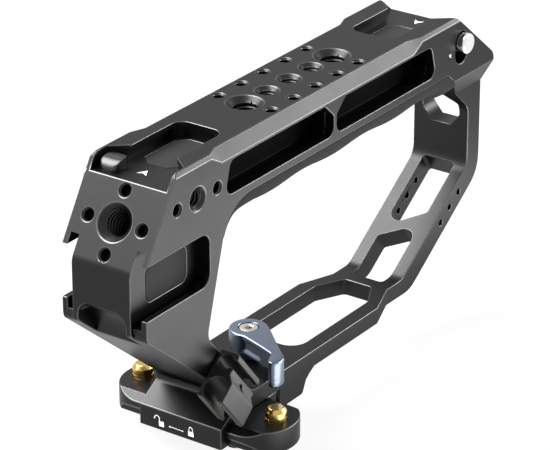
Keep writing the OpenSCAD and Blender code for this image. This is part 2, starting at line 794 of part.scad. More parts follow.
module column_recess() {
    both_sides() {
        across(core_half, half_w + over) polygon(rounded([
            [-far, recess_low_z, 0], [recess_back_y, recess_low_z, recess_r],
            [recess_back_y, recess_high_z, recess_r], [-far, recess_high_z, 0]]));
        across(core_half, lip_x) polygon(rounded([
            [-far, recess_low_z - recess_under, 0], [recess_back_y, recess_low_z - recess_under, recess_r],
            [recess_back_y, recess_high_z + recess_under, recess_r],
            [-far, recess_high_z + recess_under, 0]]));
        across(core_half - insert_t, core_half + over) insert_outline(pad_fit);
    }
}

module insert_outline(grow) {
    polygon(rounded([
        [insert_front_y - grow, insert_low_z - grow, insert_r],
        [insert_back_y + grow, insert_low_z - grow, insert_r],
        [insert_back_y + grow, insert_high_z + grow, insert_r],
        [insert_front_y - grow, insert_high_z + grow, insert_r]]));
}

module finger_scoop() {
    intersection() {
        along(-scoop_reach, waist_y - over) polygon(rounded([
            [-scoop_half, scoop_floor_z - cut_mid, 0], [-scoop_half, scoop_top_z, scoop_r],
            [scoop_half, scoop_top_z, scoop_r], [scoop_half, scoop_floor_z - cut_mid, 0]]));
        translate([-cut_wide, scoop_floor_y, scoop_floor_z]) rotate([0, 90, 0])
            cylinder(r = scoop_floor_r, h = far);
    }
}

module base_slot() {
    translate([0, 0, base_low_z - over]) linear_extrude(base_top_z - base_low_z + over * 2) polygon(rounded([
        [-slot_half, slot_near_y, slot_near_r], [slot_half, slot_near_y, slot_near_r],
        [slot_half, slot_taper_y, slot_far_r], [slot_far_half, slot_far_y, slot_far_r],
        [-slot_far_half, slot_far_y, slot_far_r], [-slot_half, slot_taper_y, slot_far_r]]));
}

// Windows are drawn down the slope: X across, second value down the slope.
module on_slope() {
    translate([0, rear_inner_y, bend_in_z]) rotate([slope_turn, 0, 0]) mirror([0, 1, 0])
        translate([0, 0, -cut_short]) linear_extrude(window_cut) children();
}

module loop_windows() {
    on_slope() {
        polygon(rounded([
            [-window_half, window_high_s, window_small_r], [window_half, window_high_s, window_small_r],
            [window_half, brace_high_s, window_small_r], [-window_half, brace_left_s, window_r]]));
        polygon(rounded([
            [window_half, brace_low_s, window_r], [window_half, window_end_s(), window_small_r],
            [-window_half, window_end_s(), window_small_r],
            [-window_half, brace_left_low_s, window_small_r]]));
    }
}

// The lower window runs on past the bend into the base bar.
function window_end_s() =
    (rear_inner_y - window_low_y) * cos(slope_turn) + (bend_in_z - base_top_z) * sin(slope_turn);

module cross_holes() {
    for (y = [cross_y : -cross_step : cross_y - cross_step * 2])
        translate([-half_w, y, base_top_z + slope_rise * (y - slope_inner_y) - cross_depth / cos(slope_turn)])
            rotate([0, 90, 0]) cylinder(r = cross_r, h = handle_w);
}

module rear_eye() {
    along(gusset_top_y, rear_reach + over) polygon([
        [-eye_flat, eye_low_z], [eye_flat, eye_low_z], [eye_half, eye_low_z + eye_corner_h],
        [eye_half, eye_high_z - eye_corner_h], [eye_flat, eye_high_z], [-eye_flat, eye_high_z],
        [-eye_half, eye_high_z - eye_corner_h], [-eye_half, eye_low_z + eye_corner_h]]);
}

module clamp_hollow() {
    // room for the moving jaw, its nose, the cover, the shaft and the guide pins
    hollow_l = hollow_rear_y - hollow_front_y + over;
    nose_l = nose_rear_y + nose_room - hollow_front_y + over;
    translate([-hollow_half, hollow_front_y - over, slider_low_z - seat])
        cube([hollow_half * 2, hollow_l, slider_high_z + seat * 2 - slider_low_z]);
    translate([-hollow_half, hollow_front_y - over, block_low_z - over])
        cube([hollow_half * 2, hollow_l, over + slider_low_z - block_low_z]);
    translate([-half_w - over, hollow_front_y - over, block_low_z - over])
        cube([handle_w + over * 2, nose_l, base_low_z - block_low_z + over]);
    translate([-cover_half - seat, nose_rear_y + nose_room - seam, block_low_z - over])
        cube([(cover_half + seat) * 2, block_rear_y - nose_rear_y - nose_room + seat, cover_t + seat + over]);
    translate([0, pivot_y, base_low_z - bore_dip]) cylinder(r = shaft_r + pin_gap, h = cut_short);
    both_sides() {
        translate([guide_x, hollow_rear_y - over, guide_z()]) rotate([-90, 0, 0])
            cylinder(r = guide_r, h = over + block_rear_y - hollow_rear_y);
        for (y = cover_screw_ys()) translate([cover_screw_x, y, 0])
            cylinder(r = cover_screw_r, h = slider_high_z - over);
    }
}

function guide_z() = (slider_low_z + slider_high_z) / 2;
function cover_screw_ys() =
    [nose_rear_y + nose_room + cover_head_r + cover_screw_inset, hollow_rear_y - cover_screw_inset];

function rib_l() = gusset_top_y - column_top_y - bar_arc_r - rib_end_gap;

module handle_frame() {
    color([0.2, 0.2, 0.2]) difference() {
        union() {
            across(-half_w, half_w) difference() {
                body_outline();
                hand_gap();
                mirror([1, 0]) jaw_side();
            }
            translate([-rib_w / 2, column_top_y + bar_arc_r, bar_under_z - rib_h])
                cube([rib_w, rib_l(), rib_h + seam]);
        }
        slim_cuts();
        top_bevels();
        side_pockets();
        shoe_cut();
        at_rear() shoe_cut();
        lock_cut();
        at_rear() lock_cut();
        top_row();
        face_holes();
        side_holes();
        column_recess();
        finger_scoop();
        base_slot();
        loop_windows();
        cross_holes();
        rear_eye();
        clamp_hollow();
        clip_screw_shape(seat, clip_w);
    }
}

function pad_z(y) = pad_low_z + pad_wave * (1 - cos((y - pad_wave_y) * 360 / pad_wave_l)) / 2;

module grip_pad() {
    wave_start = column_top_y + bar_arc_r;
    wave_step = (pad_bulge_y - wave_start) / wave_steps;
    edge = unit([column_top_y - waist_y, bar_under_z - waist_z]);
    side = [edge[1], -edge[0]];
    tip = [column_top_y, bar_under_z] + edge * (pad_front_z - bar_under_z) / edge[1];
    arc_top = tip + side * pad_proud;
    metal = rounded([[tip[0], tip[1], 0], [column_top_y, bar_under_z - pad_fit, bar_arc_r + pad_fit],
                     [gusset_top_y, bar_under_z - pad_fit, pocket_r], [metal_end()[0], metal_end()[1], 0]]);
    corner_y = arc_top[0] + edge[0] * (pad_z(wave_start) - arc_top[1]) / edge[1];
    waves = [for (i = [wave_steps : -1 : 0]) [wave_start + wave_step * i, pad_z(wave_start + wave_step * i)]];
    front = corner([wave_start, pad_z(wave_start)], [corner_y, pad_z(wave_start)], arc_top, pad_arc_r);
    color([0.17, 0.17, 0.18]) difference() {
        across(-half_w, half_w) polygon(concat(metal, [[pad_end_y, pad_low_z - pad_bulge],
            [pad_bulge_y + pad_round_l, pad_low_z - pad_bulge]], waves, front, [arc_top]));
        translate([-rib_w / 2 - pad_fit, column_top_y + bar_arc_r - pad_fit, bar_under_z - rib_h - pad_fit])
            cube([rib_w + pad_fit * 2, rib_l() + pad_fit * 2, rib_h + over]);
        both_sides() along(rim_centre()[0], body_cut) difference() {
            translate([half_w - pad_corner_r, pad_low_z - pad_corner_cut])
                square([pad_corner_r + over, pad_corner_r + pad_corner_cut]);
            translate([half_w - pad_corner_r, pad_low_z + pad_corner_r - pad_corner_sink])
                circle(r = pad_corner_r + seat * 2);
        }
        both_sides() translate([0, rim_centre()[0], rim_centre()[1]]) rotate([0, 90, 0])
            rotate_extrude(angle = 360) difference() {
                translate([0, half_w - pad_corner_r]) square([pad_arc_r + pad_corner_r, pad_corner_r + over]);
                translate([pad_arc_r + pad_corner_r - pad_corner_sink, half_w - pad_corner_r])
                    circle(r = pad_corner_r + seat * 2);
            }
    }
}

function metal_end() =
    let (y = pad_end_y + pad_metal_l) [y, bar_under_z - pad_fit - gusset_fall * (y - gusset_top_y)];
function rim_centre() =
    let (edge = unit([column_top_y - waist_y, bar_under_z - waist_z]), side = [edge[1], -edge[0]],
         tip = [column_top_y, bar_under_z] + edge * (pad_front_z - bar_under_z) / edge[1],
         top = tip + side * pad_proud, z = pad_z(column_top_y + bar_arc_r),
         p = [top[0] + edge[0] * (z - top[1]) / edge[1], z], u = [1, 0], v = -edge, h = acos(u * v) / 2)
    p + unit(u + v) * pad_arc_r / sin(h);

module column_pad(side) {
    color([0.2, 0.2, 0.21]) mirror([side < 0 ? 1 : 0, 0, 0])
        across(core_half - insert_t + seat, core_half + seat) insert_outline(0);
}
module column_pad_left() column_pad(-1);
module column_pad_right() column_pad(1);

module shoe_pad_front() {
    color([0.15, 0.15, 0.16]) translate([0, 0, shoe_floor_z - shoe_pad_t + seat])
        linear_extrude(shoe_pad_t) shoe_pad_outline(0);
}
module shoe_pad_rear() at_rear() shoe_pad_front();

module lock_pin_front() {
    slant = lock_r * 0.6;
    color([0.3, 0.3, 0.31]) translate([-lock_x, lock_y, 0]) difference() {
        translate([0, 0, lock_low_z]) cylinder(r = lock_r, h = lock_top_z - lock_low_z);
        translate([-cut_wide, -lock_r, lock_top_z]) rotate([-face_lean, 0, 0]) mirror([0, 1, 0])
            translate([0, -lock_r * 0.9, 0]) cube([far, cut_mid, cut_mid]);
        translate([-lock_r - over, 0, knob_z]) rotate([0, 90, 0])
            cylinder(r = stem_r + seat, h = lock_r + over + slant);
        translate([0, 0, lock_low_z - over]) cylinder(r = spring_bore_r(), h = over + over);
    }
}
module lock_pin_rear() at_rear() lock_pin_front();
function spring_bore_r() = lock_r - spring_bore_wall;

module lock_knob_front() {
    knob_start = lock_x + lock_r + knob_gap;
    color([0.85, 0.85, 0.86]) translate([0, lock_y, knob_z]) rotate([0, -90, 0]) {
        translate([0, 0, lock_x - lock_r * 0.5]) cylinder(r = stem_r, h = lock_r);
        translate([0, 0, knob_start]) cylinder(r = knob_r, h = half_w + knob_out - head_bevel - knob_start);
        translate([0, 0, lock_x]) cylinder(r = stem_r, h = lock_r + over);
        translate([0, 0, half_w + knob_out - head_bevel])
            cylinder(r1 = knob_r, r2 = knob_r - head_bevel, h = head_bevel);
    }
}
module lock_knob_rear() at_rear() lock_knob_front();

// Coil springs are one unbroken tube each.
module coil(r, wire, z0, z1, turns) {
    n = turns * coil_steps;
    rings = [for (i = [0 : n]) let (a = i * 360 / coil_steps, z = z0 + wire + (z1 - z0 - wire * 2) * i / n)
        for (k = [0 : coil_sides - 1]) let (b = k * 360 / coil_sides, reach = r + wire * cos(b))
            [cos(a) * reach, sin(a) * reach, z + wire * sin(b)]];
    sides = [for (i = [0 : n - 1], k = [0 : coil_sides - 1]) let (m = (k + 1) % coil_sides)
        [i * coil_sides + k, (i + 1) * coil_sides + k, (i + 1) * coil_sides + m, i * coil_sides + m]];
    first = [for (k = [0 : coil_sides - 1]) k];
    last = [for (k = [coil_sides - 1 : -1 : 0]) n * coil_sides + k];
    polyhedron(points = rings, faces = concat(sides, [first], [last]));
}

module lock_spring_front() {
    color([0.7, 0.7, 0.72]) translate([-lock_x, lock_y, 0])
        coil(spring_bore_r() - spring_wall_gap, spring_wire_r, lock_seat_z + seat, lock_low_z + over - seat,
             lock_spring_turns);
}
module lock_spring_rear() at_rear() lock_spring_front();

module lever_outline() {
    polygon(rounded([
        [-hub_r * 0.3, pivot_y - hub_r * 0.95, 0], [arm_inner_x, arm_inner_y, hub_r / 3],
        [tip_x - tip_w, tip_y + tip_lift, tip_inner_r], [tip_x, tip_y, tip_outer_r],
        [tip_x + tip_lean, tip_y + tip_w / 2, tip_end_r],
        [tip_x - tip_w * 0.45, arm_inner_y + tip_w * 0.45, tip_outer_r],
        [hub_r * 0.68, pivot_y + hub_r * 0.73, 0], [-hub_r * 0.3, pivot_y, 0]]));
}

module lever() {
    color([0.4, 0.45, 0.52]) difference() {
        union() {
            translate([0, pivot_y, lever_low_z]) cylinder(r = hub_r, h = lever_top_z - lever_low_z);
            translate([0, 0, lever_arm_z]) linear_extrude(lever_top_z - lever_arm_z) lever_outline();
            translate([0, 0, lever_low_z]) linear_extrude(lever_arm_z - lever_low_z + seam) intersection() {
                lever_outline();
                translate([arm_inner_x + over, 0]) square(cut_wide);
            }
        }
        translate([0, pivot_y, lever_top_z - lever_screw_h])
            cylinder(r = lever_screw_r + seat, h = cut_short);
        translate([0, pivot_y, lever_low_z - over]) cylinder(r = shaft_r, h = cut_short);
    }
}

module lever_screw() {
    head_low_z = lever_top_z - lever_screw_h + seat;
    color([0.66, 0.64, 0.62]) translate([0, pivot_y, 0]) difference() {
        union() {
            translate([0, 0, head_low_z]) cylinder(r = lever_screw_r, h = lever_screw_h - seat * 4);
            translate([0, 0, lever_low_z]) cylinder(r = stem_r, h = head_low_z - lever_low_z);
        }
        translate([0, 0, lever_top_z - seat * 4 - socket_h])
            cylinder(r = socket_r, h = socket_h + over, $fn = 6);
    }
}

module lever_washer() {
    color([0.1, 0.1, 0.1]) translate([0, pivot_y, base_top_z + seat]) difference() {
        cylinder(r = hub_r - washer_inset, h = lever_low_z - base_top_z - seat * 2);
        translate([0, 0, -over]) cylinder(r = shaft_r + pin_gap, h = cut_short);
    }
}

module cam_shaft() {
    color([0.6, 0.6, 0.6]) difference() {
        union() {
            translate([0, pivot_y, cam_high_z - seam])
                cylinder(r = shaft_r, h = lever_top_z - lever_screw_h - cam_high_z - seat);
            translate([pivot_rest[0], pivot_rest[1], cam_low_z])
                cylinder(r = cam_r, h = cam_high_z - cam_low_z);
        }
        translate([0, pivot_y, lever_low_z - over]) cylinder(r = stem_r, h = cut_short);
    }
}

module moving_jaw() {
    color([0.22, 0.22, 0.22]) difference() {
        union() {
            translate([-slider_half, nose_rear_y - over, slider_low_z])
                cube([slider_half * 2, slider_rear_y - nose_rear_y + over, slider_high_z - slider_low_z]);
            translate([-nose_half, plate_flat_y, jaw_low_z + nose_lift])
                cube([nose_half * 2, nose_rear_y - plate_flat_y, slider_high_z - jaw_low_z - nose_lift]);
        }
        across(-jaw_reach - over, jaw_reach + over) jaw_side();
        translate([-cam_window_half, pivot_rest[1] - cam_r - cam_gap, slider_low_z - over])
            cube([cam_window_half * 2, (cam_r + cam_gap) * 2, cut_short]);
        both_sides() translate([guide_x, nose_rear_y + over, guide_z()]) rotate([-90, 0, 0])
            cylinder(r = guide_r + pin_gap, h = cut_mid);
    }
}

module jaw_guide_pins() {
    start_y = nose_rear_y + guide_start;
    color([0.7, 0.7, 0.7]) both_sides() translate([guide_x, start_y, guide_z()]) rotate([-90, 0, 0])
        cylinder(r = guide_r, h = block_rear_y - start_y - seat);
}

module clamp_cover() {
    color([0.15, 0.15, 0.15]) difference() {
        translate([-cover_half, nose_rear_y + nose_room, block_low_z])
            cube([cover_half * 2, block_rear_y - nose_rear_y - nose_room - seat, cover_t]);
        both_sides() for (y = cover_screw_ys()) translate([cover_screw_x, y, block_low_z - seam]) {
            cylinder(r = cover_screw_r + seat, h = cover_t * 2);
            cylinder(r1 = cover_head_r, r2 = cover_screw_r, h = cover_head_r - cover_screw_r);
        }
    }
}

module cover_screws() {
    color([0.6, 0.6, 0.6]) both_sides() for (y = cover_screw_ys())
        translate([cover_screw_x, y, block_low_z]) {
            cylinder(r = cover_screw_r, h = slider_high_z - cover_screw_end - block_low_z);
            cylinder(r1 = cover_head_r - seat, r2 = cover_screw_r, h = cover_head_r - seat - cover_screw_r);
        }
}

module clip_frame() {
    translate([half_w + seat, clip_y, clip_z]) rotate([clip_turn, 0, 0]) children();
}

module cable_clip() {
    back = clip_step + clip_small_r + clip_wall;
    hook_x = clip_small_x + clip_small_r + clip_wall;
    color([0.12, 0.12, 0.12]) difference() {
        clip_frame() translate([0, 0, -clip_l]) linear_extrude(clip_l) difference() {
            polygon(rounded([
                [0, -clip_big_r, 0], [clip_w, -clip_big_r, clip_edge_r],
                [clip_w, clip_big_r * 0.8, clip_round_r], [hook_x, clip_big_r + clip_wall * 1.4, 0],
                [hook_x, back, clip_round_r], [0, back, 0]]));
            translate([clip_big_x, 0]) circle(r = clip_big_r);
            translate([clip_big_x - clip_big_gap / 2, -clip_big_r - over])
                square([clip_big_gap, clip_big_r + over]);
            translate([clip_small_x, clip_step]) circle(r = clip_small_r);
            translate([clip_small_x, clip_step - clip_small_gap / 2]) square([cut_mid, clip_small_gap]);
        }
        clip_screw_shape(seat, clip_w);
    }
}

// Screw through the wall between the two channels into the leg.
module clip_screw_shape(gap, head_h) {
    clip_frame() translate([0, clip_screw_y, -clip_l / 2]) rotate([0, 90, 0]) {
        translate([0, 0, -clip_screw_depth - gap])
            cylinder(r = clip_screw_r + gap, h = clip_screw_depth + clip_head_x + seat * 2 + gap);
        translate([0, 0, clip_head_x + seat - gap]) cylinder(r = clip_head_r + gap, h = head_h);
    }
}

module clip_screw() {
    color([0.5, 0.5, 0.5]) clip_screw_shape(0, clip_head_h);
}

module plate_outline_side() {
    half = [[plate_under_y, 0], [plate_under_y, plate_foot_z], [plate_r, plate_under_z],
            [plate_r, plate_edge_z], [plate_flat_y, plate_t]];
    polygon(concat(half, [for (i = [len(half) - 1 : -1 : 0]) [-half[i][0], half[i][1]]]));
}

module base_plate() {
    color([0.12, 0.12, 0.12]) difference() {
        intersection() {
            union() {
                both_sides() translate([plate_arc_x, 0, 0]) cylinder(r = plate_r, h = plate_t);
                translate([-plate_arc_x, -plate_r, 0]) cube([plate_arc_x * 2, plate_r * 2, plate_t]);
            }
            across(-far, far) plate_outline_side();
        }
        both_sides() {
            translate([screw_spacing / 2, 0, -over]) cylinder(r = screw_r + seat, h = cut_mid);
            translate([screw_spacing / 2, 0, plate_t - screw_head_h - screw_sink])
                cylinder(r = screw_head_r + seat * 2, h = cut_mid);
            translate([stop_x, 0, -over]) cylinder(r = stop_r + pin_gap, h = cut_mid);
            translate([stop_x, 0, -over])
                cylinder(r = stop_flange_r + pin_gap, h = over + stop_low_z + stop_flange_h + seat);
        }
    }
}

module plate_screws() {
    color([0.66, 0.64, 0.62]) both_sides() translate([screw_spacing / 2, 0, 0]) difference() {
        union() {
            translate([0, 0, -screw_out]) cylinder(r = screw_r, h = screw_out - screw_neck_out);
            translate([0, 0, -screw_neck_out - seam])
                cylinder(r = screw_neck_r, h = screw_neck_out + plate_t - screw_head_h + seam);
            translate([0, 0, plate_t - screw_head_h - screw_sink + seat])
                cylinder(r = screw_head_r, h = screw_head_h);
        }
        translate([0, 0, plate_t - screw_head_h]) cylinder(r = socket_r * 1.9, h = cut_mid, $fn = 6);
    }
}

module stop_pin(side) {
    spring_hole = stop_r - over;
    color([0.72, 0.58, 0.28]) translate([stop_x * side, 0, 0]) difference() {
        union() {
            translate([0, 0, stop_low_z]) cylinder(r = stop_flange_r, h = stop_flange_h);
            translate([0, 0, stop_low_z]) cylinder(r = stop_r, h = stop_top_z - stop_bevel - stop_low_z);
            translate([0, 0, stop_top_z - stop_bevel])
                cylinder(r1 = stop_r, r2 = stop_r - stop_bevel * 0.8, h = stop_bevel);
        }
        translate([0, 0, stop_low_z - over]) cylinder(r = spring_hole, h = stop_hole_z - stop_low_z + over);
    }
}
module stop_pin_left() stop_pin(-1);
module stop_pin_right() stop_pin(1);

module stop_spring(side) {
    color([0.7, 0.7, 0.72]) translate([stop_x * side, 0, 0])
        coil(stop_r - stop_spring_wall, spring_wire_r, cap_t + seat, stop_hole_z - seat, stop_spring_turns);
}
module stop_spring_left() stop_spring(-1);
module stop_spring_right() stop_spring(1);

module stop_cap(side) {
    color([0.5, 0.5, 0.5]) translate([stop_x * side, 0, 0]) cylinder(r = stop_flange_r + pin_gap, h = cap_t);
}
module stop_cap_left() stop_cap(-1);
module stop_cap_right() stop_cap(1);

handle_frame();
grip_pad();
column_pad_left();
column_pad_right();
shoe_pad_front();
shoe_pad_rear();
lock_pin_front();
lock_pin_rear();
lock_knob_front();
lock_knob_rear();
lock_spring_front();
lock_spring_rear();
lever();
lever_screw();
lever_washer();
cam_shaft();
moving_jaw();
jaw_guide_pins();
clamp_cover();
cover_screws();
cable_clip();
clip_screw();
base_plate();
plate_screws();
stop_pin_left();
stop_pin_right();
stop_spring_left();
stop_spring_right();
stop_cap_left();
stop_cap_right();
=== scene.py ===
"""Dresses a camera top handle: milled frame, grip, shoes, lever clamp, cable clip and oblong base plate.

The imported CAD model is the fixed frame. Each sub-assembly is a class that keeps its sizes as fields,
builds its meshes around the CAD solids and gives them their finishes.
"""

from __future__ import annotations

import logging
import math
from dataclasses import dataclass, field
from enum import Enum
from math import cos, radians, sin, sqrt, tau
from typing import Callable, Iterable, Sequence

import bmesh
import bpy
from mathutils import Matrix, Vector
from mathutils.geometry import tessellate_polygon


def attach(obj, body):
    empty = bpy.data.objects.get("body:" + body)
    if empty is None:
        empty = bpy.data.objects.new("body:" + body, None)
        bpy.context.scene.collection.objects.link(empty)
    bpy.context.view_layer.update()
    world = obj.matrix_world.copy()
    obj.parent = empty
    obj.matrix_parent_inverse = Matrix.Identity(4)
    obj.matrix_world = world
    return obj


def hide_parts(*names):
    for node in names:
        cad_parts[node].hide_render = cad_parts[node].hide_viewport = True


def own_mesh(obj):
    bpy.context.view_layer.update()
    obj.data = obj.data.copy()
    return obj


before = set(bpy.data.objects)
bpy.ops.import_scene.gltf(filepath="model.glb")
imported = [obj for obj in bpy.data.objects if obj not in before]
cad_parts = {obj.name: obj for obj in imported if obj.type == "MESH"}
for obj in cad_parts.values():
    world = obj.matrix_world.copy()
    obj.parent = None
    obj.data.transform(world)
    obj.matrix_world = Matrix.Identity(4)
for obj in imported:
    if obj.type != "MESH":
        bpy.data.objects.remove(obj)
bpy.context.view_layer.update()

LOG = logging.getLogger("top_handle")
MM = 0.001
# Faces of the rounded edges, which the shaders paint paler as an edge highlight.
EDGE_ATTRIBUTE = "edge_highlight_faces"
AXIS_ATTRIBUTE = "axis"

UP = (0.0, 0.0, 1.0)
WHITE = (1.0, 1.0, 1.0)
PLAIN_ANGLE = radians(32)

Colour = tuple[float, float, float]
Point = tuple[float, float, float]
Flat = tuple[float, float]
Outline = Sequence[Flat]
Piece = bpy.types.Object
Tree = bpy.types.NodeTree
Node = bpy.types.Node
Socket = bpy.types.NodeSocket
Draft = bmesh.types.BMesh


class Body(str, Enum):
    """The CAD bodies that pieces ride on."""

    PLATE = "plate"
    HANDLE = "handle"
    LEVER = "lever_body"
    JAW = "jaw_body"
    STOP_LEFT = "stop_left"
    STOP_RIGHT = "stop_right"
    LOCK_FRONT = "lock_front"
    LOCK_REAR = "lock_rear"


class Slot(str, Enum):
    """The record's material slots."""

    BLACK = "black_anodised"
    GRIP = "grip_rubber"
    INSERT = "insert_rubber"
    DARK_STEEL = "dark_steel"
    CHROME = "bright_chrome"
    SPRING = "spring_steel"
    BLUE_GREY = "blue_grey_anodised"
    STAINLESS = "stainless"
    PLASTIC = "black_plastic"
    BRASS = "turned_brass"


class Side(Enum):
    """Left and right of the handle, as the sign of X."""

    LEFT = -1
    RIGHT = 1


# Shader groups and finishes


class Bench:
    """A node tree with short calls for adding and joining its nodes."""

    def __init__(self, tree: Tree) -> None:
        """Keeps the tree that the nodes go into."""
        self.tree = tree

    def add(self, kind: str, inputs: dict[str, object] | None = None, **settings: object) -> Node:
        """Adds one node.

        Args:
            kind: The node's Blender type name.
            inputs: Values or sockets for its inputs, by socket name.
            settings: The node's own properties.

        Returns:
            The new node.
        """
        node = self.tree.nodes.new(kind)
        for name, value in settings.items():
            setattr(node, name, value)
        for name, value in (inputs or {}).items():
            self.feed(node.inputs[name], value)
        return node

    def feed(self, socket: Socket, value: object) -> None:
        """Links a socket into an input, or sets the input's plain value."""
        if isinstance(value, bpy.types.NodeSocket):
            self.tree.links.new(value, socket)
        else:
            socket.default_value = value

    def math(self, operation: str, first: object, second: object = 0.0, clamp: bool = False) -> Socket:
        """Adds a Math node and returns its output."""
        node = self.add("ShaderNodeMath", operation=operation, use_clamp=clamp)
        self.feed(node.inputs[0], first)
        self.feed(node.inputs[1], second)
        return node.outputs[0]

    def noise(self, vector: object, scale: object, detail: float, **inputs: float) -> Socket:
        """Adds a noise texture and returns its value."""
        fed = {"Vector": vector, "Scale": scale, "Detail": detail, **inputs}
        return self.add("ShaderNodeTexNoise", fed).outputs[0]

    def leave(self, **values: object) -> None:
        """Adds the group's output node and feeds it."""
        self.add("NodeGroupOutput", values)

    def spread(self, value: object, low: float, high: float) -> Socket:
        """Maps a 0 to 1 value onto low to high and returns the output."""
        node = self.add("ShaderNodeMapRange", {"Value": value, "To Min": low, "To Max": high})
        return node.outputs["Result"]

    def blend(self, share: object, first: object, second: object) -> Socket:
        """Mixes two colours and returns the output."""
        node = self.add("ShaderNodeMix", data_type="RGBA")
        colours = [socket for socket in node.inputs if socket.type == "RGBA"]
        self.feed(node.inputs[0], share)
        self.feed(colours[0], first)
        self.feed(colours[1], second)
        return next(socket for socket in node.outputs if socket.type == "RGBA")


def opaque(colour: Colour, share: float = 1.0) -> tuple[float, float, float, float]:
    """The colour, darkened or lightened by a share, with full alpha."""
    return (*(part * share for part in colour), 1.0)


def shader_group(name: str, inputs: dict[str, float], outputs: Sequence[str]) -> tuple[Tree, Bench]:
    """Makes an empty shader group with named value sockets and a Vector input.

    Args:
        name: The group's name.
        inputs: Value inputs with their defaults.
        outputs: Names of the value outputs.

    Returns:
        The group and a bench for its nodes.
    """
    tree = bpy.data.node_groups.new(name, "ShaderNodeTree")
    tree.interface.new_socket("Vector", in_out="INPUT", socket_type="NodeSocketVector")
    for label, value in inputs.items():
        tree.interface.new_socket(label, in_out="INPUT", socket_type="NodeSocketFloat").default_value = value
    for label in outputs:
        tree.interface.new_socket(label, in_out="OUTPUT", socket_type="NodeSocketFloat")
    return tree, Bench(tree)


def bead_grain_group() -> Tree:
    """Fine blasted grain with slow patches: outputs Tone, Patch and Height, each 0 to 1."""
    tree, bench = shader_group("bead_grain", {"Grain": 3400.0, "Patches": 55.0}, ("Tone", "Patch", "Height"))
    entry = bench.add("NodeGroupInput").outputs
    fine = bench.noise(entry["Vector"], entry["Grain"], 2.0, Roughness=0.6)
    dents = bench.noise(entry["Vector"], bench.math("MULTIPLY", entry["Grain"], 0.31), 1.0)
    patch = bench.noise(entry["Vector"], entry["Patches"], 3.0)
    height = bench.math("ADD", bench.math("MULTIPLY", fine, 0.6), bench.math("MULTIPLY", dents, 0.4))
    bench.leave(Tone=fine, Patch=patch, Height=height)
    return tree


def edge_highlight_group() -> Tree:
    """Mask of the rounded edges for the painted edge highlight, broken up a little: output Mask, 0 to 1."""
    tree, bench = shader_group("edge_highlight", {"Amount": 0.6, "Breaks": 900.0}, ("Mask",))
    entry = bench.add("NodeGroupInput").outputs
    edge = bench.add("ShaderNodeAttribute", attribute_name=EDGE_ATTRIBUTE).outputs["Fac"]
    broken = bench.spread(bench.noise(entry["Vector"], entry["Breaks"], 3.0), 0.55, 1.25)
    bench.leave(Mask=bench.math("MULTIPLY", bench.math("MULTIPLY", edge, broken), entry["Amount"], True))
    return tree


def lathe_lines_group() -> Tree:
    """Fine turning lines across the Vector's Z and round its axis: outputs Tone and Height, 0 to 1."""
    tree, bench = shader_group("lathe_lines", {"Lines": 9000.0}, ("Tone", "Height"))
    entry = bench.add("NodeGroupInput").outputs
    parts = bench.add("ShaderNodeSeparateXYZ", {"Vector": entry["Vector"]}).outputs
    square = bench.math("ADD", *(bench.math("MULTIPLY", parts[axis], parts[axis]) for axis in "XY"))
    place = bench.add("ShaderNodeCombineXYZ", {"X": bench.math("SQRT", square), "Z": parts["Z"]})
    lines = bench.noise(place.outputs[0], entry["Lines"], 2.0)
    bench.leave(Tone=lines, Height=lines)
    return tree


def moulded_skin_group() -> Tree:
    """Spark textured skin of moulded rubber and plastic: outputs Tone, Patch and Height, 0 to 1."""
    inputs = {"Pebbles": 2400.0, "Patches": 70.0}
    tree, bench = shader_group("moulded_skin", inputs, ("Tone", "Patch", "Height"))
    entry = bench.add("NodeGroupInput").outputs
    cells = {"Vector": entry["Vector"], "Scale": entry["Pebbles"]}
    pebbles = bench.add("ShaderNodeTexVoronoi", cells, feature="SMOOTH_F1").outputs["Distance"]
    dust = bench.noise(entry["Vector"], entry["Pebbles"], 3.0)
    patch = bench.noise(entry["Vector"], entry["Patches"], 2.0)
    bench.leave(Tone=dust, Patch=patch, Height=bench.math("SUBTRACT", 1.0, pebbles))
    return tree


class Effects:
    """The shader groups that several finishes share, each built once."""

    _made: dict[str, Tree] = {}
    _makers: dict[str, Callable[[], Tree]] = {
        "bead_grain": bead_grain_group,
        "edge_highlight": edge_highlight_group,
        "lathe_lines": lathe_lines_group,
        "moulded_skin": moulded_skin_group,
    }

    @classmethod
    def place(cls, bench: Bench, name: str, vector: Socket, **values: float) -> Node:
        """Places a shared group in a material.

        Args:
            bench: The material's bench.
            name: The group's name.
            vector: The coordinates that the pattern follows.
            values: The group's own inputs.

        Returns:
            The group node.
        """
        if name not in cls._made:
            cls._made[name] = cls._makers[name]()
        node = bench.add("ShaderNodeGroup", node_tree=cls._made[name])
        bench.feed(node.inputs["Vector"], vector)
        for label, value in values.items():
            node.inputs[label].default_value = value
        return node


class Finish:
    """What every finish shares: one material, built when it is first asked for."""

    name: str

    def material(self) -> bpy.types.Material:
        """The finish's material."""
        found = bpy.data.materials.get("finish_" + self.name)
        if found is None:
            found = bpy.data.materials.new("finish_" + self.name)
            found.use_nodes = True
            found.node_tree.nodes.clear()
            bench = Bench(found.node_tree)
            shader = bench.add("ShaderNodeBsdfPrincipled")
            bench.add("ShaderNodeOutputMaterial", {"Surface": shader.outputs[0]})
            place = bench.add("ShaderNodeTexCoord").outputs["Object"]
            self.build(bench, shader, place)
        return found

    def build(self, bench: Bench, shader: Node, place: Socket) -> None:
        """Feeds the material's main shader."""
        raise NotImplementedError

    @staticmethod
    def bump(bench: Bench, shader: Node, height: Socket, depth: float, share: float) -> None:
        """Joins a height pattern to the shader's normal.

        Args:
            bench: The material's bench.
            shader: The main shader.
            height: The pattern.
            depth: Real depth of the pattern, in metres.
            share: Strength of the effect, 0 to 1.
        """
        node = bench.add("ShaderNodeBump", {"Strength": share, "Distance": depth, "Height": height})
        bench.feed(shader.inputs["Normal"], node.outputs[0])


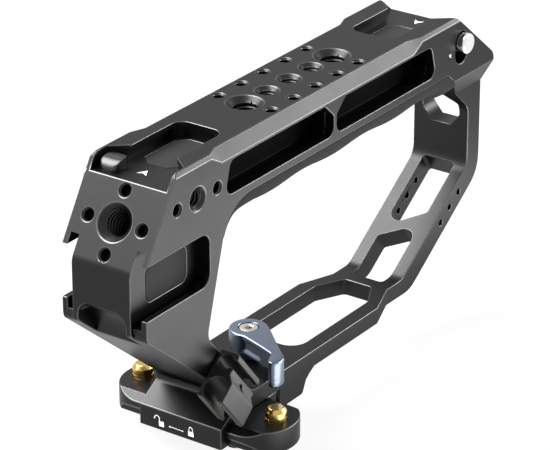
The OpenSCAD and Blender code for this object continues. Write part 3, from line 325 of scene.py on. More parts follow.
@dataclass(frozen=True)
class Anodised(Finish):
    """Blasted and dyed aluminium, its rounded edges painted paler as a highlight."""

    name: str
    colour: Colour
    edge_highlight_colour: Colour
    roughness: float = 0.36
    grain_depth: float = 0.008 * MM
    edge_highlight_amount: float = 0.5
    rim_tint: float = 0.8

    def build(self, bench: Bench, shader: Node, place: Socket) -> None:
        """Grain, patches, and rounded edges painted paler as a highlight and made a little smoother."""
        grain = Effects.place(bench, "bead_grain", place)
        edge_mask = Effects.place(bench, "edge_highlight", place, Amount=self.edge_highlight_amount)
        dyed = bench.blend(grain.outputs["Tone"], opaque(self.colour, 0.7), opaque(self.colour, 1.3))
        # Painted highlight: the rounded edges take the paler edge colour.
        highlighted = bench.blend(edge_mask.outputs["Mask"], dyed, opaque(self.edge_highlight_colour))
        bench.feed(shader.inputs["Base Color"], highlighted)
        skin = bench.spread(grain.outputs["Patch"], self.roughness - 0.05, self.roughness + 0.05)
        rubbed = bench.spread(edge_mask.outputs["Mask"], 0.0, -0.08)
        bench.feed(shader.inputs["Roughness"], bench.math("ADD", skin, rubbed))
        shader.inputs["Metallic"].default_value = 1.0
        shader.inputs["Specular Tint"].default_value = opaque((self.rim_tint,) * 3)
        self.bump(bench, shader, grain.outputs["Height"], self.grain_depth, 0.6)


@dataclass(frozen=True)
class TurnedMetal(Finish):
    """Bright metal with fine turning lines round one axis."""

    name: str
    colour: Colour
    centre: Point
    turn: Point = (0.0, 0.0, 0.0)
    roughness: float = 0.22
    line_depth: float = 0.003 * MM
    stain: float = 0.75

    def build(self, bench: Bench, shader: Node, place: Socket) -> None:
        """Turning lines and a faint film in slow patches."""
        offset = tuple(-part for part in self.centre)
        move = bench.add("ShaderNodeMapping", {"Vector": place, "Location": offset})
        spun = bench.add("ShaderNodeMapping", {"Vector": move.outputs[0], "Rotation": self.turn})
        lines = Effects.place(bench, "lathe_lines", spun.outputs[0])
        grain = Effects.place(bench, "bead_grain", place, Grain=1800.0, Patches=400.0)
        film = bench.spread(grain.outputs["Patch"], 0.3, 1.0)
        tone = bench.blend(film, opaque(self.colour, self.stain), opaque(self.colour))
        bench.feed(shader.inputs["Base Color"], tone)
        rough = bench.spread(lines.outputs["Tone"], self.roughness * 0.8, self.roughness * 1.25)
        bench.feed(shader.inputs["Roughness"], rough)
        shader.inputs["Metallic"].default_value = 1.0
        if self.line_depth:
            self.bump(bench, shader, lines.outputs["Height"], self.line_depth, 0.5)


@dataclass(frozen=True)
class Moulded(Finish):
    """Rubber or plastic with a fine moulded skin."""

    name: str
    colour: Colour
    roughness: float = 0.6
    pebbles: float = 2400.0
    skin_depth: float = 0.03 * MM
    specular: float = 0.4
    edge_highlight_colour: Colour = (0.05, 0.05, 0.05)
    edge_highlight_amount: float = 0.3

    def build(self, bench: Bench, shader: Node, place: Socket) -> None:
        """Skin texture, slow patches and a paler edge painted as a highlight."""
        skin = Effects.place(bench, "moulded_skin", place, Pebbles=self.pebbles)
        edge_mask = Effects.place(bench, "edge_highlight", place, Amount=self.edge_highlight_amount)
        tone = bench.blend(skin.outputs["Tone"], opaque(self.colour, 0.8), opaque(self.colour, 1.2))
        # Painted highlight: the rounded edges take the paler edge colour.
        highlighted = bench.blend(edge_mask.outputs["Mask"], tone, opaque(self.edge_highlight_colour))
        bench.feed(shader.inputs["Base Color"], highlighted)
        rough = bench.spread(skin.outputs["Patch"], self.roughness - 0.07, self.roughness + 0.07)
        bench.feed(shader.inputs["Roughness"], rough)
        shader.inputs["Specular IOR Level"].default_value = self.specular
        self.bump(bench, shader, skin.outputs["Height"], self.skin_depth, 0.5)


@dataclass(frozen=True)
class Paint(Finish):
    """Thin screen printed paint."""

    name: str = "mark_paint"
    colour: Colour = (0.85, 0.85, 0.85)

    def build(self, bench: Bench, shader: Node, place: Socket) -> None:
        """A slightly uneven matt white."""
        grain = Effects.place(bench, "bead_grain", place, Grain=4000.0)
        tone = bench.blend(grain.outputs["Tone"], opaque(self.colour, 0.94), opaque(self.colour))
        bench.feed(shader.inputs["Base Color"], tone)
        bench.feed(shader.inputs["Roughness"], bench.spread(grain.outputs["Patch"], 0.45, 0.6))
        self.bump(bench, shader, grain.outputs["Height"], 0.004 * MM, 0.4)


# Each edge colour below is a painted highlight on the rounded edges.
BLACK = Anodised("black_anodised", (0.030, 0.030, 0.0305), (0.13, 0.13, 0.132), roughness=0.38,
                 edge_highlight_amount=0.65)
BLUE_GREY = Anodised("blue_grey_anodised", (0.17, 0.20, 0.26), (0.42, 0.48, 0.58), roughness=0.30)
DARK_STEEL = Anodised("dark_steel", (0.055, 0.055, 0.057), (0.12, 0.12, 0.12), roughness=0.34)
GRIP = Moulded("grip_rubber", (0.017, 0.017, 0.0175), roughness=0.8, specular=0.08, edge_highlight_amount=0.0)
INSERT = Moulded("insert_rubber", (0.022, 0.022, 0.023), roughness=0.75, pebbles=3200.0,
                 skin_depth=0.015 * MM, specular=0.12, edge_highlight_amount=0.0)
PLASTIC = Moulded("black_plastic", (0.009, 0.009, 0.0095), roughness=0.42, pebbles=3600.0,
                  skin_depth=0.01 * MM, specular=0.3, edge_highlight_amount=0.15)
# A near black matt sheet laid in the side pockets as painted shade.
POCKET_SHADE_SHEET = Moulded("pocket_painted_shade", (0.006, 0.006, 0.0061), roughness=0.9, specular=0.02, edge_highlight_amount=0.0)
PAINT = Paint()


# Mesh helpers


def finished_mesh(obj: Piece) -> bpy.types.Mesh:
    """The object's mesh with its modifiers applied."""
    bpy.context.view_layer.update()
    return bpy.data.meshes.new_from_object(obj.evaluated_get(bpy.context.evaluated_depsgraph_get()))


def place_object(name: str, mesh: bpy.types.Mesh) -> Piece:
    """Puts a mesh in the scene at the origin."""
    mesh.name = name
    obj = bpy.data.objects.new(name, mesh)
    bpy.context.scene.collection.objects.link(obj)
    return obj


def bake_modifiers(obj: Piece) -> Piece:
    """Replaces an object by a plain one with its modifiers applied.

    Args:
        obj: The object with modifiers.

    Returns:
        The plain object, under the same name.
    """
    name, mesh = obj.name, finished_mesh(obj)
    old = obj.data
    bpy.data.objects.remove(obj)
    bpy.data.meshes.remove(old)
    return place_object(name, mesh)


def dress(obj: Piece, body: Body, slot: Slot, finish: Finish, *replaced: str) -> Piece:
    """Gives a finished piece its body and material, and hides the CAD nodes that it stands for.

    Args:
        obj: The piece.
        body: The body that it rides on.
        slot: Not used.
        finish: Its finish.
        replaced: The CAD nodes that aren't shown any more.

    Returns:
        The same piece.
    """
    obj.data.materials.clear()
    obj.data.materials.append(finish.material())
    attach(obj, body.value)
    if replaced:
        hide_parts(*replaced)
    LOG.info("%s: %d faces on %s", obj.name, len(obj.data.polygons), body.value)
    return obj


@dataclass(frozen=True)
class EdgeRounding:
    """Rounds the outer edges of a merged copy of a CAD node."""

    width: float = 0.3 * MM
    steps: int = 2
    sharp_angle: float = radians(26)
    merge_angle: float = radians(0.8)
    smooth_angle: float = radians(50)
    crowd_share: float = 0.42
    weld: float = 0.002 * MM

    def copy(self, node: str, piece: str) -> Piece:
        """Copies a CAD node, merges its loose triangles and rounds its outer edges.

        Args:
            node: The CAD node.
            piece: The new piece's name.

        Returns:
            The new piece, with the rounded faces marked in the edge attribute.
        """
        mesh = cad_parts[node].data.copy()
        draft = bmesh.new()
        draft.from_mesh(mesh)
        bmesh.ops.remove_doubles(draft, verts=draft.verts[:], dist=self.weld)
        bmesh.ops.dissolve_limit(draft, angle_limit=self.merge_angle, use_dissolve_boundaries=False,
                                 verts=draft.verts[:], edges=draft.edges[:])
        self._weigh(draft)
        draft.to_mesh(mesh)
        draft.free()
        return self.finish(place_object(piece, mesh))

    def finish(self, obj: Piece) -> Piece:
        """Adds the rounding, marks its faces and applies everything.

        Args:
            obj: A piece whose edges carry bevel weights.

        Returns:
            The plain rounded piece.
        """
        obj.data.materials.clear()
        for label in ("plain", "rounded"):
            obj.data.materials.append(bpy.data.materials.get(label) or bpy.data.materials.new(label))
        columns = [[vert.co[axis] for vert in obj.data.vertices] for axis in range(3)]
        box = [(min(column), max(column)) for column in columns]
        bevel = obj.modifiers.new("rounding", "BEVEL")
        bevel.width, bevel.segments, bevel.limit_method = self.width, self.steps, "WEIGHT"
        bevel.material, bevel.use_clamp_overlap, bevel.miter_outer = 1, False, "MITER_SHARP"
        obj = bake_modifiers(obj)
        for vert in obj.data.vertices:
            vert.co = [max(low, min(high, part)) for part, (low, high) in zip(vert.co, box)]
        rounded = [float(face.material_index == 1) for face in obj.data.polygons]
        obj.data.attributes.new(EDGE_ATTRIBUTE, "FLOAT", "FACE").data.foreach_set("value", rounded)
        for face in obj.data.polygons:
            face.material_index = 0
        return self.shade(obj)

    def shade(self, obj: Piece) -> Piece:
        """Smooth shading that keeps flat faces flat.

        Args:
            obj: The piece.

        Returns:
            The plain piece with its normals set.
        """
        obj.data.shade_smooth()
        obj.data.set_sharp_from_angle(angle=self.smooth_angle)
        normals = obj.modifiers.new("normals", "WEIGHTED_NORMAL")
        normals.keep_sharp, normals.weight = True, 100
        return bake_modifiers(obj)

    def _weigh(self, draft: Draft) -> None:
        """Sets bevel weights on outer edges, less where neighbours are short."""
        layer = draft.edges.layers.float.new("bevel_weight_edge")
        for edge in draft.edges:
            outer = len(edge.link_faces) == 2 and edge.is_convex
            if not outer or edge.calc_face_angle(0.0) < self.sharp_angle:
                continue
            room = min((self._room(edge, vert) for vert in edge.verts), default=1.0)
            edge[layer] = max(0.0, min(1.0, room * self.crowd_share / self.width))

    @staticmethod
    def _room(edge: bmesh.types.BMEdge, vert: bmesh.types.BMVert) -> float:
        """Shortest edge that leaves the edge's end sideways."""
        along = (edge.other_vert(vert).co - vert.co).normalized()
        rooms = [1.0]
        for other in vert.link_edges:
            if other is edge:
                continue
            away = (other.other_vert(vert).co - vert.co)
            length = away.length
            if length > 0 and abs(away.dot(along)) < 0.8 * length:
                rooms.append(length)
        return min(rooms)


def ring_points(radius: float, sides: int, count: int) -> list[Flat]:
    """Points on a circle, or on a polygon with that many sides and that inner radius.

    Args:
        radius: Radius of the circle or of the polygon's flats.
        sides: 0 for a circle.
        count: Number of points.

    Returns:
        Points as (first, second).
    """
    points = []
    for index in range(count):
        angle = tau * index / count
        reach = radius
        if sides:
            step = tau / sides
            reach = radius / cos((angle % step) - step / 2)
        points.append((reach * cos(angle), reach * sin(angle)))
    return points


@dataclass(frozen=True)
class Ring:
    """One ring of a turned piece: radius and height in millimetres, and the sides of a polygon."""

    radius: float
    height: float
    sides: int = 0


def settle(name: str, draft: Draft, frame_matrix: Matrix | None = None, smooth_angle: float | None = None
           ) -> Piece:
    """Turns a draft into a piece with outward faces.

    Args:
        name: The piece's name.
        draft: The draft, which is freed.
        frame_matrix: Places the piece.
        smooth_angle: Edges under this angle are shaded smooth. Without it the shading stays flat.

    Returns:
        The piece, with its place in its mesh.
    """
    bmesh.ops.recalc_face_normals(draft, faces=draft.faces[:])
    draft.transform(frame_matrix or Matrix.Identity(4))
    mesh = bpy.data.meshes.new(name)
    draft.to_mesh(mesh)
    draft.free()
    obj = place_object(name, mesh)
    if smooth_angle is not None:
        mesh.shade_smooth()
        mesh.set_sharp_from_angle(angle=smooth_angle)
    return obj


def wall(draft: Draft, rows: Sequence[Sequence[bmesh.types.BMVert]]) -> None:
    """Joins neighbouring loops with four sided faces."""
    for low, high in zip(rows, rows[1:]):
        for index in range(len(low)):
            after = (index + 1) % len(low)
            draft.faces.new((low[index], low[after], high[after], high[index]))


def lofted(name: str, loops: Sequence[Sequence[Point]], frame_matrix: Matrix | None = None,
           smooth_angle: float = PLAIN_ANGLE) -> Piece:
    """Makes a closed skin over loops of equal length, first and last closed by a face.

    Args:
        name: The piece's name.
        loops: The loops in order, their points in millimetres.
        frame_matrix: Places the piece.
        smooth_angle: Edges under this angle are shaded smooth.

    Returns:
        The piece, with its place in its mesh.
    """
    draft = bmesh.new()
    rows = [[draft.verts.new(Vector(point) * MM) for point in loop] for loop in loops]
    wall(draft, rows)
    ends = [draft.faces.new(list(reversed(rows[0]))), draft.faces.new(rows[-1])]
    bmesh.ops.triangulate(draft, faces=ends)
    return settle(name, draft, frame_matrix, smooth_angle)


def turned(name: str, rings: Sequence[Ring], frame_matrix: Matrix, count: int = 48,
           smooth_angle: float = PLAIN_ANGLE) -> Piece:
    """Makes a closed turned piece from rings.

    Args:
        name: The piece's name.
        rings: The rings in order along the surface.
        frame_matrix: Places the turning axis Z.
        count: Points in each ring.
        smooth_angle: Edges under this angle are shaded smooth.

    Returns:
        The piece, with its place in its mesh.
    """
    loops = [[(x, y, ring.height) for x, y in ring_points(ring.radius, ring.sides, count)] for ring in rings]
    return lofted(name, loops, frame_matrix, smooth_angle)


def at(x: float, y: float, z: float, turn: Matrix | None = None) -> Matrix:
    """A place in millimetres, with an optional turn."""
    return Matrix.Translation(Vector((x, y, z)) * MM) @ (turn or Matrix.Identity(4))


def turn_about(axis: str, degrees: float) -> Matrix:
    """A turn about a main axis."""
    return Matrix.Rotation(radians(degrees), 4, axis)


def smooth_outline(points: Outline, steps: int = 5) -> list[Flat]:
    """A closed smooth line through the points.

    Args:
        points: The points in order.
        steps: New points for each stretch.

    Returns:
        The finer line.
    """
    fine = []
    count = len(points)
    for index in range(count):
        before, start, end, after = (Vector(points[(index + shift) % count]) for shift in (-1, 0, 1, 2))
        for step in range(steps):
            t = step / steps
            square = (2 * before - 5 * start + 4 * end - after) * t * t
            cube = (3 * start - before - 3 * end + after) * t ** 3
            fine.append(tuple(0.5 * (2 * start + (end - before) * t + square + cube)))
    return fine


def inset_outline(outline: Outline, depths: Sequence[float]) -> list[Flat]:
    """Moves each point of a counter-clockwise outline inwards by its own depth."""
    moved = []
    for index, point in enumerate(outline):
        before, after = Vector(outline[index - 1]), Vector(outline[(index + 1) % len(outline)])
        first, second = (Vector(point) - before).normalized(), (after - Vector(point)).normalized()
        inward = Vector((-first.y - second.y, first.x + second.x))
        inward = inward.normalized() / max(0.7, inward.length / 2)
        moved.append(tuple(Vector(point) + inward * depths[index]))
    return moved


def slab(name: str, outline: Outline, levels: Outline,
         dent: Callable[[float, float, float], float] | None = None,
         hole: tuple[float, float, float, float] | None = None) -> Piece:
    """Makes a closed slab from an outline with rounded rims, an optional dent in its wall and a blind hole.

    Args:
        name: The piece's name.
        outline: Counter-clockwise points in millimetres.
        levels: Inset and height of each loop, from the bottom up.
        dent: Extra inset at a place of the wall.
        hole: Middle, radius and floor height of a hole in the top.

    Returns:
        The piece.
    """
    draft = bmesh.new()
    rows = []
    for inset, z in levels:
        depths = [inset + (dent(x, y, z) if dent else 0.0) for x, y in outline]
        rows.append([draft.verts.new((x * MM, y * MM, z * MM)) for x, y in inset_outline(outline, depths)])
    rims = [rows[-1]]
    if hole:
        x, y, radius, floor = hole
        circle = ring_points(radius, 0, 64)
        rings = [[draft.verts.new(((x + a * grow) * MM, (y + b * grow) * MM, z * MM)) for a, b in circle]
                 for grow, z in ((1.04, levels[-1][1]), (1.0, levels[-1][1] - 0.15), (1.0, floor))]
        rims.append(rings[0])
        wall(draft, [list(reversed(ring)) for ring in rings])
        draft.faces.new(rings[-1])
    wall(draft, rows)
    for rim in ([rows[0]], rims):
        flat = [vert for loop in rim for vert in loop]
        for corners in tessellate_polygon([[vert.co for vert in loop] for loop in rim]):
            draft.faces.new([flat[corner] for corner in corners])
    return settle(name, draft, smooth_angle=radians(38))


def rim_levels(low: float, high: float, low_round: float, high_round: float, between: Sequence[float] = ()
               ) -> list[Flat]:
    """Inset and height of the loops of a slab whose rims are rounded."""
    turns = [radians(18 * step) for step in range(6)]
    levels = [(low_round * (1 - sin(turn)), low + low_round * (1 - cos(turn))) for turn in turns]
    levels += [(0.0, z) for z in between]
    return levels + [(high_round * (1 - cos(turn)), high - high_round * (1 - sin(turn))) for turn in turns]


def flat_marks(name: str, outlines: Iterable[Outline], frame_matrix: Matrix,
               thickness: float = 0.03) -> Piece:
    """Makes thin closed plates from flat outlines.

    Args:
        name: The piece's name.
        outlines: Each outline as points in millimetres.
        frame_matrix: Places the outlines' plane, its Z pointing out of the surface.
        thickness: How far the paint stands out, in millimetres.

    Returns:
        The piece.
    """
    draft = bmesh.new()
    for outline in outlines:
        low = [draft.verts.new((x * MM, y * MM, -thickness * MM)) for x, y in outline]
        high = [draft.verts.new((x * MM, y * MM, thickness * MM)) for x, y in outline]
        draft.faces.new(list(reversed(low)))
        draft.faces.new(high)
        wall(draft, (low, high))
    bmesh.ops.triangulate(draft, faces=draft.faces[:])
    return settle(name, draft, frame_matrix)


def stroke(points: Outline, width: float) -> list[Flat]:
    """The outline of a line drawn with a flat pen.

    Args:
        points: The line's points in millimetres.
        width: The pen's width.

    Returns:
        A closed outline.
    """
    left, right = [], []
    for index, point in enumerate(points):
        before = Vector(points[max(index - 1, 0)])
        after = Vector(points[min(index + 1, len(points) - 1)])
        along = (after - before).normalized()
        side = Vector((-along.y, along.x)) * width / 2
        left.append(tuple(Vector(point) + side))
        right.append(tuple(Vector(point) - side))
    return left + right[::-1]


class WoundTree:
    """Geometry Nodes tree that winds a ridge or wire round each point's own axis."""

    inputs = {"Radius": "Float", "Wire": "Float", "Rise": "Float", "Turns": "Float", "Steps": "Int",
              "Sides": "Int", "Smooth": "Bool", "Finish": "Material"}
    _made: "WoundTree | None" = None

    def __init__(self) -> None:
        """Builds the tree."""
        self.tree = bpy.data.node_groups.new("wound_ridge", "GeometryNodeTree")
        face = self.tree.interface
        face.new_socket("Geometry", in_out="INPUT", socket_type="NodeSocketGeometry")
        self.sockets = {}
        for label, kind in self.inputs.items():
            socket = face.new_socket(label, in_out="INPUT", socket_type="NodeSocket" + kind)
            self.sockets[label] = socket.identifier
        face.new_socket("Geometry", in_out="OUTPUT", socket_type="NodeSocketGeometry")
        bench = Bench(self.tree)
        entry = bench.add("NodeGroupInput").outputs
        spiral = bench.add("GeometryNodeCurveSpiral", {
            "Resolution": entry["Steps"], "Rotations": entry["Turns"], "Start Radius": entry["Radius"],
            "End Radius": entry["Radius"], "Height": entry["Rise"]})
        upright = bench.add("GeometryNodeSetCurveNormal", {"Curve": spiral.outputs[0]}, mode="Z_UP")
        profile = bench.add("GeometryNodeCurvePrimitiveCircle", {
            "Resolution": entry["Sides"], "Radius": entry["Wire"]})
        wire = bench.add("GeometryNodeCurveToMesh", {
            "Curve": upright.outputs[0], "Profile Curve": profile.outputs[0], "Fill Caps": True})
        named = {"Name": AXIS_ATTRIBUTE}
        axis = bench.add("GeometryNodeInputNamedAttribute", named, data_type="FLOAT_VECTOR")
        aim = bench.add("FunctionNodeAlignRotationToVector", {"Vector": axis.outputs["Attribute"]}, axis="Z")
        copies = bench.add("GeometryNodeInstanceOnPoints", {
            "Points": entry["Geometry"], "Instance": wire.outputs[0], "Rotation": aim.outputs[0]})
        real = bench.add("GeometryNodeRealizeInstances", {"Geometry": copies.outputs[0]})
        shade = bench.add("GeometryNodeSetShadeSmooth", {
            "Geometry": real.outputs[0], "Shade Smooth": entry["Smooth"]})
        dressed = bench.add("GeometryNodeSetMaterial", {
            "Geometry": shade.outputs[0], "Material": entry["Finish"]})
        bench.add("NodeGroupOutput", {"Geometry": dressed.outputs[0]})

    @classmethod
    def wind(cls, name: str, starts: Sequence[tuple[Point, Point]], finish: Finish,
             **values: float | int | bool) -> Piece:
        """Winds one ridge or wire at each start.

        Args:
            name: The piece's name.
            starts: Each start's place in millimetres and its axis.
            finish: The material.
            values: The tree's inputs, lengths in metres.

        Returns:
            The plain mesh piece.
        """
        cls._made = cls._made or cls()
        mesh = bpy.data.meshes.new(name)
        mesh.from_pydata([tuple(part * MM for part in place) for place, _ in starts], [], [])
        axes = mesh.attributes.new(AXIS_ATTRIBUTE, "FLOAT_VECTOR", "POINT")
        axes.data.foreach_set("vector", [part for _, axis in starts for part in axis])
        obj = place_object(name, mesh)
        modifier = obj.modifiers.new("wound", "NODES")
        modifier.node_group = cls._made.tree
        for label, value in {**values, "Finish": finish.material()}.items():
            modifier[cls._made.sockets[label]] = value
        return bake_modifiers(obj)


# Sub-assemblies


@dataclass
class HandleFrame:
    """The milled frame with its tapped holes and painted marks."""

    rounding: EdgeRounding = field(default_factory=lambda: EdgeRounding(width=0.32 * MM, steps=3))
    top_z: float = 101.8
    half_width: float = 15.85
    row_y: float = 20.2
    row_step: float = 12.0
    face_hole: Point = (0.0, -45.83, 85.95)
    face_lean: float = 31.8
    side_hole: Point = (15.85, -25.9, 90.15)
    big_lead: float = 1.7
    small_lead: float = 1.2
    tap_depth: float = 10.8
    side_depth: float = 7.8
    big_pitch: float = 1.5875
    small_pitch: float = 1.27
    big_thread_r: float = 4.45
    small_thread_r: float = 2.92
    ledge_spans: tuple[Flat, ...] = ((-8.6, 46.6), (49.4, 106.0))
    ledge_z: float = 84.05
    ledge_high_z: float = 93.2
    ledge_turn: float = 2.6
    ledge_out: float = 12.75
    ledge_in: float = 11.5
    ledge_rise: float = 0.95
    ledge_bevel: float = 0.35
    web_half: float = 7.02
    shade_sheet_t: float = 0.04
    pocket_low_z: float = 84.3
    pocket_high_z: float = 96.5
    shoe_floor_z: float = 96.8
    shoe_mid_y: float = 44.1
    jaw_front_y: float = -15.3

    def build(self) -> None:
        """Builds the frame, its threads and its marks."""
        body = self.rounding.copy("handle_frame", "milled_frame")
        dress(body, Body.HANDLE, Slot.BLACK, BLACK, "handle_frame")
        self._ledges()
        self._pocket_shade_sheets()
        self._threads()
        self._marks()

    def _ledges(self) -> None:
        """Lofts the step inside each side pocket, along its lower and rear edges."""
        bars = []
        for side in Side:
            for start, end in self.ledge_spans:
                line = [(start, self.ledge_z), (end - self.ledge_turn, self.ledge_z)]
                for turn in (radians(15 * step) for step in range(1, 7)):
                    line.append((end - self.ledge_turn * (1 - sin(turn)),
                                 self.ledge_z + self.ledge_turn * (1 - cos(turn))))
                line.append((end, self.ledge_high_z))
                loops = [self._ledge_section(line, index, side) for index in range(len(line))]
                bars.append(lofted("pocket_ledge", loops))
        dress(joined("pocket_ledges", bars), Body.HANDLE, Slot.BLACK, BLACK)

    def _ledge_section(self, line: Outline, index: int, side: Side) -> list[Point]:
        """One section of a ledge, its outer rim bevelled."""
        before, after = Vector(line[max(index - 1, 0)]), Vector(line[min(index + 1, len(line) - 1)])
        along = (after - before).normalized()
        inward = Vector((-along.y, along.x))
        bevel, rise = self.ledge_bevel, self.ledge_rise
        flat = [(self.ledge_out, 0.0), (self.ledge_out, rise - bevel),
                (self.ledge_out - bevel * 0.3, rise - bevel * 0.3),
                (self.ledge_out - bevel, rise), (self.ledge_in, rise), (self.ledge_in, 0.0)]
        y, z = line[index]
        return [(x * side.value, y + inward.x * up, z + inward.y * up) for x, up in flat]

    def _pocket_shade_sheets(self) -> None:
        """Lays a near black sheet on the web in each side pocket: painted shade that darkens the pocket."""
        sheets = []
        for side in Side:
            for front, rear in self.ledge_spans:
                corners = ((front, self.pocket_low_z), (rear, self.pocket_low_z),
                           (rear, self.pocket_high_z), (front, self.pocket_high_z))
                loops = [[(x * side.value, y, z) for y, z in corners]
                         for x in (self.web_half, self.web_half + self.shade_sheet_t)]
                sheets.append(lofted("pocket_shade_sheet", loops))
        # The sheets darken the pockets as painted shade.
        dress(joined("pocket_shade_sheets", sheets), Body.HANDLE, Slot.BLACK, POCKET_SHADE_SHEET)

    def _threads(self) -> None:
        """Winds the threads of the tapped holes."""
        lean = radians(self.face_lean)
        out = (0.0, -cos(lean), sin(lean))
        x, y, z = self.face_hole
        floor_z = self.top_z - self.tap_depth
        row = [((0.0, self.row_y + self.row_step * index, floor_z), UP) for index in range(5)]
        leaning = ((x, y - out[1] * self.tap_depth, z - out[2] * self.tap_depth), out)
        side = ((self.side_hole[0] - self.side_depth, *self.side_hole[1:]), (1.0, 0.0, 0.0))
        self._wind("threads_large", [row[0], row[4], leaning], self.big_thread_r, self.big_pitch,
                   self.tap_depth - self.big_lead)
        self._wind("threads_small", row[1:4], self.small_thread_r, self.small_pitch,
                   self.tap_depth - self.small_lead)
        self._wind("threads_side", [side], self.small_thread_r, self.small_pitch,
                   self.side_depth - self.small_lead)

    @staticmethod
    def _wind(name: str, starts: list[tuple[Point, Point]], radius: float, pitch: float, rise: float) -> None:
        """Winds one kind of thread, four sided, with its crest pointing inwards."""
        piece = WoundTree.wind(name, starts, BLACK, Radius=radius * MM, Wire=pitch * 0.38 * MM,
                               Rise=rise * MM, Turns=rise / pitch, Steps=40, Sides=4, Smooth=False)
        dress(piece, Body.HANDLE, Slot.BLACK, BLACK)

    def _marks(self) -> None:
        """Paints the shoe arrows, the lock mark and the clamp's lock signs."""
        arrow = [(0.26, -29.7), (-1.55, -32.85), (0.2, -31.85), (2.07, -32.95)]
        turned_arrow = [(-x, 2 * self.shoe_mid_y - y) for x, y in arrow]
        self._paint("shoe_arrows", [arrow, turned_arrow], at(0, 0, self.shoe_floor_z))
        side = Matrix(((0, 0, 1, 0), (1, 0, 0, 0), (0, 1, 0, 0), (0, 0, 0, 1)))
        mark = [(114.0, 90.3), (115.3, 90.45), (115.3, 88.9)]
        self._paint("lock_mark", [mark], at(self.half_width, 0, 0, side))
        front = Matrix(((1, 0, 0, 0), (0, 0, -1, 0), (0, 1, 0, 0), (0, 0, 0, 1)))
        signs = [
            [(-8.25, 1.7), (-6.3, 1.7), (-6.3, 3.5), (-8.25, 3.5)],
            stroke([(-7.95, 3.4), (-8.05, 4.3), (-8.4, 5.0), (-9.0, 5.25), (-9.6, 5.0), (-9.95, 4.4),
                    (-10.05, 3.9)], 0.32),
            [(3.1, 1.75), (5.25, 1.75), (5.25, 3.45), (3.1, 3.45)],
            stroke([(3.5, 3.35), (3.5, 4.2), (3.75, 4.85), (4.18, 5.1), (4.6, 4.85), (4.85, 4.2),
                    (4.85, 3.35)], 0.32),
            stroke([(-3.9, 2.72), (0.85, 2.72)], 0.22),
            [(-4.5, 2.72), (-3.8, 2.42), (-3.8, 3.02)],
            [(1.45, 2.72), (0.75, 3.02), (0.75, 2.42)],
        ]
        self._paint("lock_signs", signs, at(0, self.jaw_front_y, 0, front))

    @staticmethod
    def _paint(name: str, outlines: Sequence[Outline], frame_matrix: Matrix) -> None:
        """Paints one group of marks."""
        dress(flat_marks(name, outlines, frame_matrix), Body.HANDLE, Slot.BLACK, PAINT)


@dataclass
class Grip:
    """The moulded grip under the bar: waved underneath, with a bulge at its rear end."""

    half_width: float = 15.8
    corner: float = 5.6
    corner_steps: int = 8
    groove_half: float = 12.85
    groove_depth: float = 3.15
    groove_front: float = 5.35
    groove_rear: float = 113.5
    under_z: float = 82.8
    rim_y: float = -6.54
    rim_z: float = 70.8
    rim_r: float = 6.0
    metal_y: float = 1.63
    metal_z: float = 67.3
    metal_r: float = 15.5
    front_angle: float = 164.0
    wave_start: float = 5.4
    low_z: float = 76.3
    wave: float = 1.25
    wave_length: float = 34.5
    wave_phase: float = 14.0
    bulge: float = 1.8
    bulge_y: float = 107.5
    end_y: float = 118.6
    end_round: float = 3.4
    gusset_y: float = 114.3
    gusset_fall: float = 0.9325

    def build(self) -> None:
        """Lofts the grip along its outer line."""
        loops = [self._section(*station) for station in self._stations()]
        dress(lofted("grip", loops, smooth_angle=radians(40)), Body.HANDLE, Slot.GRIP, GRIP, "grip_pad")

    def _low(self, y: float) -> float:
        """Height of the underside at that place along the bar."""
        along = max(y, self.wave_start)
        wave = self.wave * (1 - cos((along - self.wave_phase) * tau / self.wave_length)) / 2
        return self.low_z + wave - self.bulge * ease(y, self.bulge_y, self.bulge_y + 4.0)

    def _high(self, y: float) -> float:
        """Height of the metal above the grip."""
        if y < self.metal_y:
            return self.metal_z + sqrt(self.metal_r ** 2 - (y - self.metal_y) ** 2)
        return self.under_z - max(0.0, y - self.gusset_y) * self.gusset_fall

    def _stations(self) -> list[tuple[float, float, float, float, bool]]:
        """Each station: outer point, direction to the metal in degrees, thickness and whether grooved."""
        stations = []
        for step in range(15):
            angle = radians(self.front_angle + (90.0 - self.front_angle) * step / 14)
            way = Vector((cos(angle), sin(angle)))
            gap = Vector((self.rim_y - self.metal_y, self.rim_z - self.metal_z))
            reach = -way.dot(gap) + sqrt(way.dot(gap) ** 2 - gap.length_squared + self.metal_r ** 2)
            stations.append((self.rim_y + self.rim_r * way.x, self.rim_z + self.rim_r * way.y,
                             math.degrees(angle), reach - self.rim_r, False))
        start = stations[-1]
        lift = start[1] - self._low(start[0])
        ys = [self.rim_y + 1.6 * step for step in range(1, 8)] + [self.groove_front, self.groove_front + 0.02]
        ys += [self.wave_start + 1.0 + 1.5 * step for step in range(71)]
        ys += [self.groove_rear, self.groove_rear + 0.02]
        ys += [self.end_y - self.end_round + self.end_round * sin(radians(15 * step)) for step in range(7)]
        for y in sorted(ys):
            inside = max(0.0, y - (self.end_y - self.end_round)) / self.end_round
            low = self._low(y) + lift * max(0.0, 1 - (y - self.rim_y) / 10)
            high = self._high(y)
            low += (high - low - 2.6) * (1 - sqrt(max(0.0, 1 - inside * inside)))
            grooved = self.groove_front < y <= self.groove_rear
            stations.append((y, low, 90.0, high - low, grooved))
        return stations

    def _section(self, y: float, z: float, angle: float, thick: float, grooved: bool) -> list[Point]:
        """One cross-section, its lower corners rounded."""
        way = Vector((cos(radians(angle)), sin(radians(angle))))
        deep = self.groove_depth if grooved else 0.0
        half, corner, low = self.half_width, self.corner, min(self.corner, thick * 0.8)
        flat = [(-half, thick), (-self.groove_half, thick), (-self.groove_half, thick - deep),
                (self.groove_half, thick - deep), (self.groove_half, thick), (half, thick)]
        for sign in (1, -1):
            steps = range(self.corner_steps + 1)[::sign]
            turns = [radians(90 * step / self.corner_steps) for step in steps]
            flat += [(sign * (half - corner + corner * cos(turn)), low - low * sin(turn)) for turn in turns]
        return [(x, y + way.x * up, z + way.y * up) for x, up in flat]


